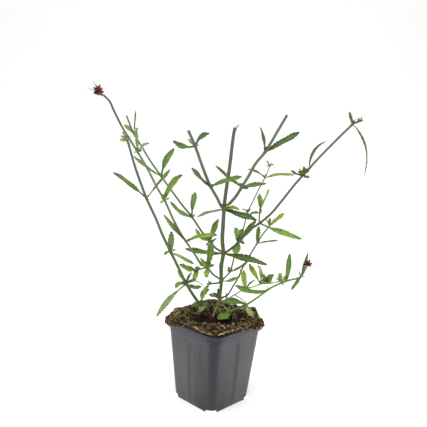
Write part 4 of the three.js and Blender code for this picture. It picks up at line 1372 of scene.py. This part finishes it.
# %% Leaf and stem materials
LEAF_RAMP = (
    (0.0, "#38501f"), (0.25, "#486522"), (0.48, "#59792a"),
    (0.7, "#6c8d2e"), (0.9, "#8aa43a"), (1.0, "#a8bc52"),
)
STEM_RAMP = ((0.0, "#34402a"), (0.35, "#445333"), (0.6, "#566b39"), (0.8, "#6f8843"), (1.0, "#8ba452"))


def leaf_face(name, under):
    finish = Finish(name, Roughness=0.55, Specular_IOR_Level=0.35)
    split = finish.node("SeparateXYZ", [(0, finish.node("UVMap", uv_map="UVMap").outputs[0])])
    from_rib = finish.math("ABSOLUTE", finish.math("SUBTRACT", split.outputs["Y"], 0.5))
    sweep = finish.math("SUBTRACT", split.outputs["X"], finish.math("MULTIPLY", from_rib, 1.8))
    to_vein = finish.math("PINGPONG", sweep, 0.5)
    vein = finish.between(to_vein, 0.14, 0.02)
    midrib = finish.between(from_rib, 0.07, 0.02)
    lines = finish.math("MAXIMUM", vein, midrib)
    green = finish.ramp(finish.mottled(finish.noise(170, 4), 0.25, 0.75, 0.2), *LEAF_RAMP)
    if under:
        green = finish.mix(0.35, green, "#88a05c")
        green = finish.mix(finish.math("MULTIPLY", lines, 0.4), green, "#a5b877")
    else:
        green = finish.mix(finish.math("MULTIPLY", vein, 0.3), green, "#34501f")
        green = finish.mix(finish.math("MULTIPLY", midrib, 0.5), green, "#8fae5c")
    green = finish.mix(finish.attribute("pale"), green, "#97a184")
    green = finish.mix(finish.attribute("dusk"), green, "#5d5560")
    cells = finish.bump(finish.noise(1500, 3), 0.00012)
    relief = finish.bump(lines, 0.0003 if under else -0.0004, cells)
    return finish.done(green, relief)


def stem_skin():
    """Grooved green skin, olive-grey where the stem is old, brown and woody where it leaves the soil."""
    finish = Finish("stem_skin", Roughness=0.5, Specular_IOR_Level=0.4)
    streaks = finish.noise(500, 3, place=finish.place((1, 1, 0.12)))
    green = finish.ramp(finish.mottled(streaks, 0.25, 0.75, 0.15), *STEM_RAMP)
    green = finish.mix(finish.attribute("pale"), green, "#5b6253")
    green = finish.mix(finish.attribute("dusk"), green, "#4d444c")
    axes = finish.axes()
    bark = finish.between(streaks, 0.3, 0.6, 0.3, 1)
    woody = finish.math("MULTIPLY", finish.between(axes["Z"], 0.142, 0.108), bark)
    from_crown = finish.math("ABSOLUTE", finish.math("SUBTRACT", axes["X"], 0.003))
    woody = finish.math("MULTIPLY", woody, finish.between(from_crown, 0.0105, 0.0075))
    colour = finish.mix(woody, green, "#8f8b4d")
    return finish.done(colour, finish.bump(streaks, 0.0003))


def plain_finish(name, dark, light, scale, roughness):
    """A quiet finish between two close colours."""
    finish = Finish(name, Roughness=roughness, Specular_IOR_Level=0.3)
    patches = finish.noise(scale, 3)
    return finish.done(finish.ramp(patches, (0.3, dark), (0.7, light)), finish.bump(patches, 0.0002))


foliage = [
    stem_skin(),
    leaf_face("leaf_upper", under=False),
    leaf_face("leaf_under", under=True),
    plain_finish("leaf_hair", "#c3cfae", "#d9e0c8", 800, 0.6),
    plain_finish("pith", "#a9b58c", "#cdd3b2", 900, 0.8),
]

# %% [markdown]
# ## The leafy stems
# Each leafy stem is now put together: its stems, its leaves with a version of the pattern drawn for each,
# and the hairs. It becomes one piece, because on the plant it has grown as one.

# %% Put the leafy stems together
STEM_HAIRS = 0.35
LEAF_HAIRS = 0.1
LONG, MIDDLING = 29, 15      # the shortest leaf that is made from each pattern
FADE = 50                    # over this height a stem turns pale or dusky
TUFTS = {                    # by a station's height: how many young leaves, how long, and their marks
    "stem_main": {146: (3, 4, 0.25, 0, 0.4), 180: (4, 4.5, 0.25, 0, 0.6), 233: (5, 7.5, 0.95, 0, 0)},
    "stem_basal_left": {178: (5, 6, 0.7, 0.4, 0), 110: (3, 5, 0.4, 0.2, 0), 116: (4, 6, 0.5, 0.1, 0),
        306: (12, 8.5, 1.1, 0.4, 0)},
    "stem_basal_right": {147: (7, 8, 0.8, 0.2, 0), 150: (9, 8.5, 1.1, 0.4, 0)},
    "branch_low_left": {164: (11, 9.5, 0.95, 0, 0), 197: (4, 6, 0.8, 0, 0.3), 245: (10, 7, 1.1, 0.4, 0)},
    "branch_low_right": {193: (7, 11, 0.75, 0.2, 0)},
    "branch_mid_left": {192: (6, 8.5, 0.75, 0.2, 0), 218: (6, 6, 0.3, 0, 0.2),
        313: (4, 4, 0.5, 0.5, 0.6)},
    "branch_mid_right": {222.5: (5, 4.5, 0.1, 0, 0.5), 282: (13, 7.5, 0.65, 0.1, 0), 289: (0, 1, 0, 0, 0),
        337: (8, 5.5, 0.8, 0.1, 0.4)},
    "branch_top_left": {260: (6, 5, 0.15, 0, 0.3), 306: (5, 5.5, 0.6, 0.4, 0.3)},
    "branch_top_right": {300: (5, 7.5, 0.5, 0, 0.5), 259: (4, 6, 0.4, 0, 0.1)},
}
USUAL_TUFT = (4, 5.5, 0.7)
BURNT = (0, 0, 0.3, 0.7)     # half of the leaves have a dry tip
TIP = 0.78                   # where it starts, as a share of the length


def tuft(draw, node, station):
    """The young leaves that stand up along the stem where it bears leaves."""
    pale = max(entry["pale"] for entry in station[3:])
    usual = (*USUAL_TUFT, pale, 0)
    count, long, tone, pale, dusk = TUFTS.get(node, {}).get(station[2], usual)
    return [
        leaf(
            draw.uniform(0, 360), draw.uniform(5, 80), draw.uniform(-30, 45), long * draw.uniform(0.7, 1.2),
            0.42 * long * draw.uniform(0.7, 1.1), twist=draw.uniform(-40, 40),
            tone=tone + draw.uniform(-0.2, 0.15), pale=pale * draw.uniform(0.5, 1),
            dusk=dusk * draw.uniform(0.4, 1),
        )
        for _ in range(count)
    ]


def add_leaf(heap, draw, place, entry):
    size = "long" if entry["long"] >= LONG else "middling" if entry["long"] >= MIDDLING else "small"
    pattern = draw.choice(leaf_patterns[size, entry["stalked"]])
    points = lay_leaf(pattern, LEAF_SIZES[size], place, entry)
    shares = np.clip(pattern.points[:, 0] / LEAF_SIZES[size][0], 0, 1)
    burnt = draw.choice(BURNT) * np.clip((shares - TIP) / 0.2, 0, 1)
    dusk = np.maximum(entry["dusk"] * (0.4 + 0.6 * shares), burnt)
    heap.add(pattern, points, entry["tone"] + draw.uniform(-0.05, 0.05), entry["pale"], dusk)
    sow_hairs(heap, pattern, points, LEAF_HAIRS, 0.45, draw.randrange(10 ** 6), HAIR)


def leafy_stem(name, node, stems, seed):
    draw = random.Random(seed)
    heap = Heap()
    for number, spec in enumerate(stems):
        body = stem_pattern(spec)
        pale, dusk = [
            spec[mark] * np.array([smoothstep(z, spec[start], spec[start] + FADE) for z in body.points[:, 2]])
            for mark, start in (("pale", "pale_from"), ("dusk", "dusk_from"))
        ]
        heap.add(body, body.points, spec["tone"], pale, dusk)
        sow_hairs(heap, body, body.points, STEM_HAIRS, 0.5, seed + number, HAIR)
        for station in spec["path"]:
            entries = list(station[3:])
            if entries:
                entries += tuft(draw, node, station)
            for entry in entries:
                add_leaf(heap, draw, station[:3], entry)
    finish_piece(heap.build(name), name, [node], foliage)


for number, (node, stems) in enumerate(STEMS.items()):
    leafy_stem("leafy_" + node, node, stems, 100 + 10 * number)
bpy.data.objects.remove(profile)

# %% [markdown]
# ## Flower heads
# A verbena's head is a knot of small tubular calyces, each with five ribs that end in points, dark maroon
# and hairy. Only a few florets are open: a thin tube that ends in a flat face of five notched lobes. The
# calyx is a short cylinder whose top face is inset and pushed in to make it hollow, and whose edge is
# then pulled up into teeth. The floret is extruded ring by ring with the same helper as the pot.

# %% Flower heads: calyx
CALYX_SIDES = 10


def calyx_pattern():
    """A hollow tube along Z from 0 to 1 with a radius of about 1 and five teeth."""
    tube = dict(vertices=CALYX_SIDES, radius=1, depth=0.8, location=(0, 0, 0.4))
    obj = added(bpy.ops.mesh.primitive_cylinder_add, **tube)
    bpy.ops.object.transform_apply(location=True)
    bpy.ops.object.mode_set(mode="EDIT")
    bpy.ops.mesh.select_all(action="SELECT")
    bpy.ops.mesh.bisect(plane_co=(0, 0, 0.35), plane_no=(0, 0, 1))
    pick(obj, "faces", lambda face: face.normal.z > 0.9)
    bpy.ops.mesh.inset(thickness=0.25, depth=0)
    bpy.ops.mesh.inset(thickness=0.05, depth=-0.4)
    shape = bmesh.from_edit_mesh(obj.data)
    for vert in shape.verts:
        x, y, z = vert.co
        radius = math.hypot(x, y)
        on_rib = round(math.atan2(y, x) / (2 * math.pi) * CALYX_SIDES) % 2 == 0
        ribbed = 1 if on_rib else 0.86
        wider, higher = 1, 0
        if z < 0.1:
            wider = 0.6
        elif z < 0.5 and radius > 0.9:
            wider = ribbed * 1.12
        elif z > 0.7 and radius > 0.6:
            wider, higher = ribbed * 0.85, 0.28 if on_rib else -0.04
        vert.co = (x * wider, y * wider, z + higher)
    bmesh.update_edit_mesh(obj.data)
    bpy.ops.object.mode_set(mode="OBJECT")
    return Pattern(obj)


calyx = calyx_pattern()
print("calyx:", len(calyx.faces), "faces")

# %% Flower heads: floret
FLORET_TUBE = 7.0
FLORET_WIDE = 5.4
FLORET_SIDES = 40


def floret_loop(radius, z, lobed=0.0, droop=0.0):
    """A loop of the floret. `lobed` goes from 0, round, to 1, cut into five notched lobes."""
    loop = []
    for step in range(FLORET_SIDES):
        bearing = 2 * math.pi * step / FLORET_SIDES
        part = abs(math.cos(2.5 * bearing))
        lobe = 0.3 + 0.7 * part ** 0.45 - 0.16 * max(0, part - 0.9) / 0.1
        r = radius * (1 - lobed + lobed * lobe)
        loop.append((r * math.cos(bearing), r * math.sin(bearing), z - droop * part))
    return loop


def floret_pattern():
    """A floret that stands along Z: the outside of the tube, over the lobes and down the throat."""
    full = FLORET_WIDE / 2
    loops = (
        (0.3, 0), (0.36, 2.5), (0.4, FLORET_TUBE - 0.8), (0.62, FLORET_TUBE - 0.2, 0.2),
        (0.6 * full, FLORET_TUBE + 0.1, 0.8), (full, FLORET_TUBE, 1, 0.3),
        (full * 1.01, FLORET_TUBE + 0.1, 1, 0.3), (0.6 * full, FLORET_TUBE + 0.26, 0.8),
        (0.5, FLORET_TUBE, 0.2), (0.25, FLORET_TUBE - 0.9), (0.1, FLORET_TUBE - 1.6),
    )
    return Pattern(skin([floret_loop(*loop) for loop in loops]))


floret = floret_pattern()
print("floret:", len(floret.faces), "faces")


# %% [markdown]
# The head's own small parts are laid by one rule: calyces spiral round a small core at the golden angle
# and lean upward, which is how such heads grow. The open florets stand on the head, each in its own
# direction. A few green bracts sit under the head.

# %% Flower heads: put one together
CALYX_SKIN, FLORET_LOBE, HEAD_HAIR, BRACT_UPPER, BRACT_UNDER, STALK = range(6)
GOLDEN_ANGLE = math.pi * (3 - math.sqrt(5))
GAP = 0.3                    # between a stem's end and the head's stalk
STALK_STEPS = 7
BRACTS = 5
CORE_SHARE = 0.62            # of the head's radius
ROOT_SHARE = 0.55            # where the calyces start
UPWARD = 0.35
SCATTER = 0.12

core = ball(3)
stalk = Pattern(rod(10, 6))


def flower_head(
    name, node, middle, half, calyces, long, thick, tip, materials, seed, plump, florets=()
):
    """`middle` and `half` are the head's place and size, `long` is a calyx's length, `tip` the stem's end."""
    draw = random.Random(seed)
    heap = Heap()
    heart = np.array(middle, float)
    radii = np.array((half[0], half[0], half[1]), float)
    heap.add(core, core.points * radii * CORE_SHARE + heart, 0.1, paint_as=CALYX_SKIN)
    foot = np.array(tip, float)
    way = heart - foot
    joined = foot + way / np.linalg.norm(way) * GAP
    line = [joined + (heart - joined) * step / (STALK_STEPS - 1) for step in range(STALK_STEPS)]
    thickness = np.linspace(0.45 * thick, 1, STALK_STEPS)
    heap.add(stalk, lay_along(stalk.points, line, thickness), 0.25, paint_as=STALK)
    for number in range(calyces):
        height = 1 - 1.8 * (number + 0.5) / calyces
        flat = math.sqrt(1 - height * height)
        bearing = number * GOLDEN_ANGLE
        way = np.array((math.cos(bearing) * flat, math.sin(bearing) * flat, height))
        root = way * radii * ROOT_SHARE + heart
        lean = way + np.array((0, 0, UPWARD)) + np.array([draw.gauss(0, SCATTER) for _ in range(3)])
        length = long * draw.uniform(0.75, 1.15)
        line = [root + lean / np.linalg.norm(lean) * length * step / 2 for step in range(3)]
        # Painted light: calyces facing +X get a lighter tone, those facing -X a darker one, with some random
        # spread.
        tone = min(1, max(0, 0.4 + 0.35 * way[0] + draw.uniform(-0.2, 0.2)))
        points = lay_along(calyx.points, line, np.array((0.13, 0.18, 0.15)) * long * plump)
        heap.add(calyx, points, tone, paint_as=CALYX_SKIN)
        sow_hairs(heap, calyx, points, 0.9, 0.5, seed + number, HEAD_HAIR)
    for direction in florets:
        way = np.array(direction, float) / np.linalg.norm(direction)
        turn = np.array(Vector((0, 0, 1)).rotation_difference(Vector(way)).to_matrix())
        start = heart + way * half[1] * 0.95
        up = np.clip((floret.points[:, 2] - 0.5 * FLORET_TUBE) / (0.5 * FLORET_TUBE), 0, 1)
        heap.add(floret, floret.points @ turn.T + start, up, paint_as=FLORET_LOBE)
    base = heart - np.array((0, 0, half[1] * 0.85))
    for number in range(BRACTS):
        entry = leaf(360 / BRACTS * number + 20, 20, -30, half[0] * 1.5, 1.6)
        bract = leaf_patterns["small", False][number % 3]
        heap.add(bract, lay_leaf(bract, LEAF_SIZES["small"], base, entry), FRESH, paint_as=BRACT_UPPER)
    finish_piece(heap.build(name), name, [node], materials)


# %% Flower heads: finishes
def calyx_finish(name, dark, middle, light):
    finish = Finish(name, Roughness=0.7, Specular_IOR_Level=0.25)
    tone = finish.mottled(finish.noise(700, 3), 0.2, 0.8, 0.2)
    return finish.done(finish.ramp(tone, (0.1, dark), (0.5, middle), (0.95, light)))


def lobe_finish():
    """Lavender lobes on a pinkish brown tube. The floret's tone is 0 at its foot and 1 at its lobes."""
    finish = Finish("floret_lavender", Roughness=0.6, Specular_IOR_Level=0.2)
    patches = finish.noise(600, 3)
    tone = finish.mottled(patches, 0.2, 0.8, 0.12)
    colour = finish.ramp(tone, (0.0, "#8f5f58"), (0.45, "#a5838f"), (0.75, "#a29cc9"), (1.0, "#c0bbe0"))
    return finish.done(colour, finish.bump(patches, 0.0001))


def head_materials(name, dark, middle, light, hair_dark, hair_light):
    return [
        calyx_finish(name, dark, middle, light), lobe_finish(),
        plain_finish(name + "_hair", hair_dark, hair_light, 900, 0.6), foliage[LEAF_UPPER],
        foliage[LEAF_UNDER], plain_finish(name + "_stalk", "#4a3a40", "#6a5352", 700, 0.6),
    ]


maroon = head_materials("calyx_maroon", "#3a1216", "#6d272d", "#94727a", "#a98a90", "#c4a5a9")
dusty_pink = head_materials("bud_pink", "#7d675c", "#a08577", "#bda594", "#bfa69c", "#d3c3ba")

flower_head(
    "flowers_left", "flower_head_left", (-129.6, -71.5, 356.8), (2.8, 4.2), 14, 4.8, 1.6,
    (-125, -70, 354), maroon, florets=((-0.42, -0.3, 0.9), (-0.9, -0.4, 0.25)), seed=5, plump=1.3,
)
flower_head(
    "flowers_right", "flower_head_right", (99, -46.2, 183.5), (2.0, 2.6), 12, 4.2, 1.6,
    (97.2, -46, 180), maroon, seed=6, plump=1.5,
)
flower_head(
    "buds_tip", "flower_buds_tip", (133.4, -80.2, 341.2), (1.9, 1.9), 7, 3.0, 1.4,
    (131, -79, 340), dusty_pink, seed=7, plump=1.4,
)
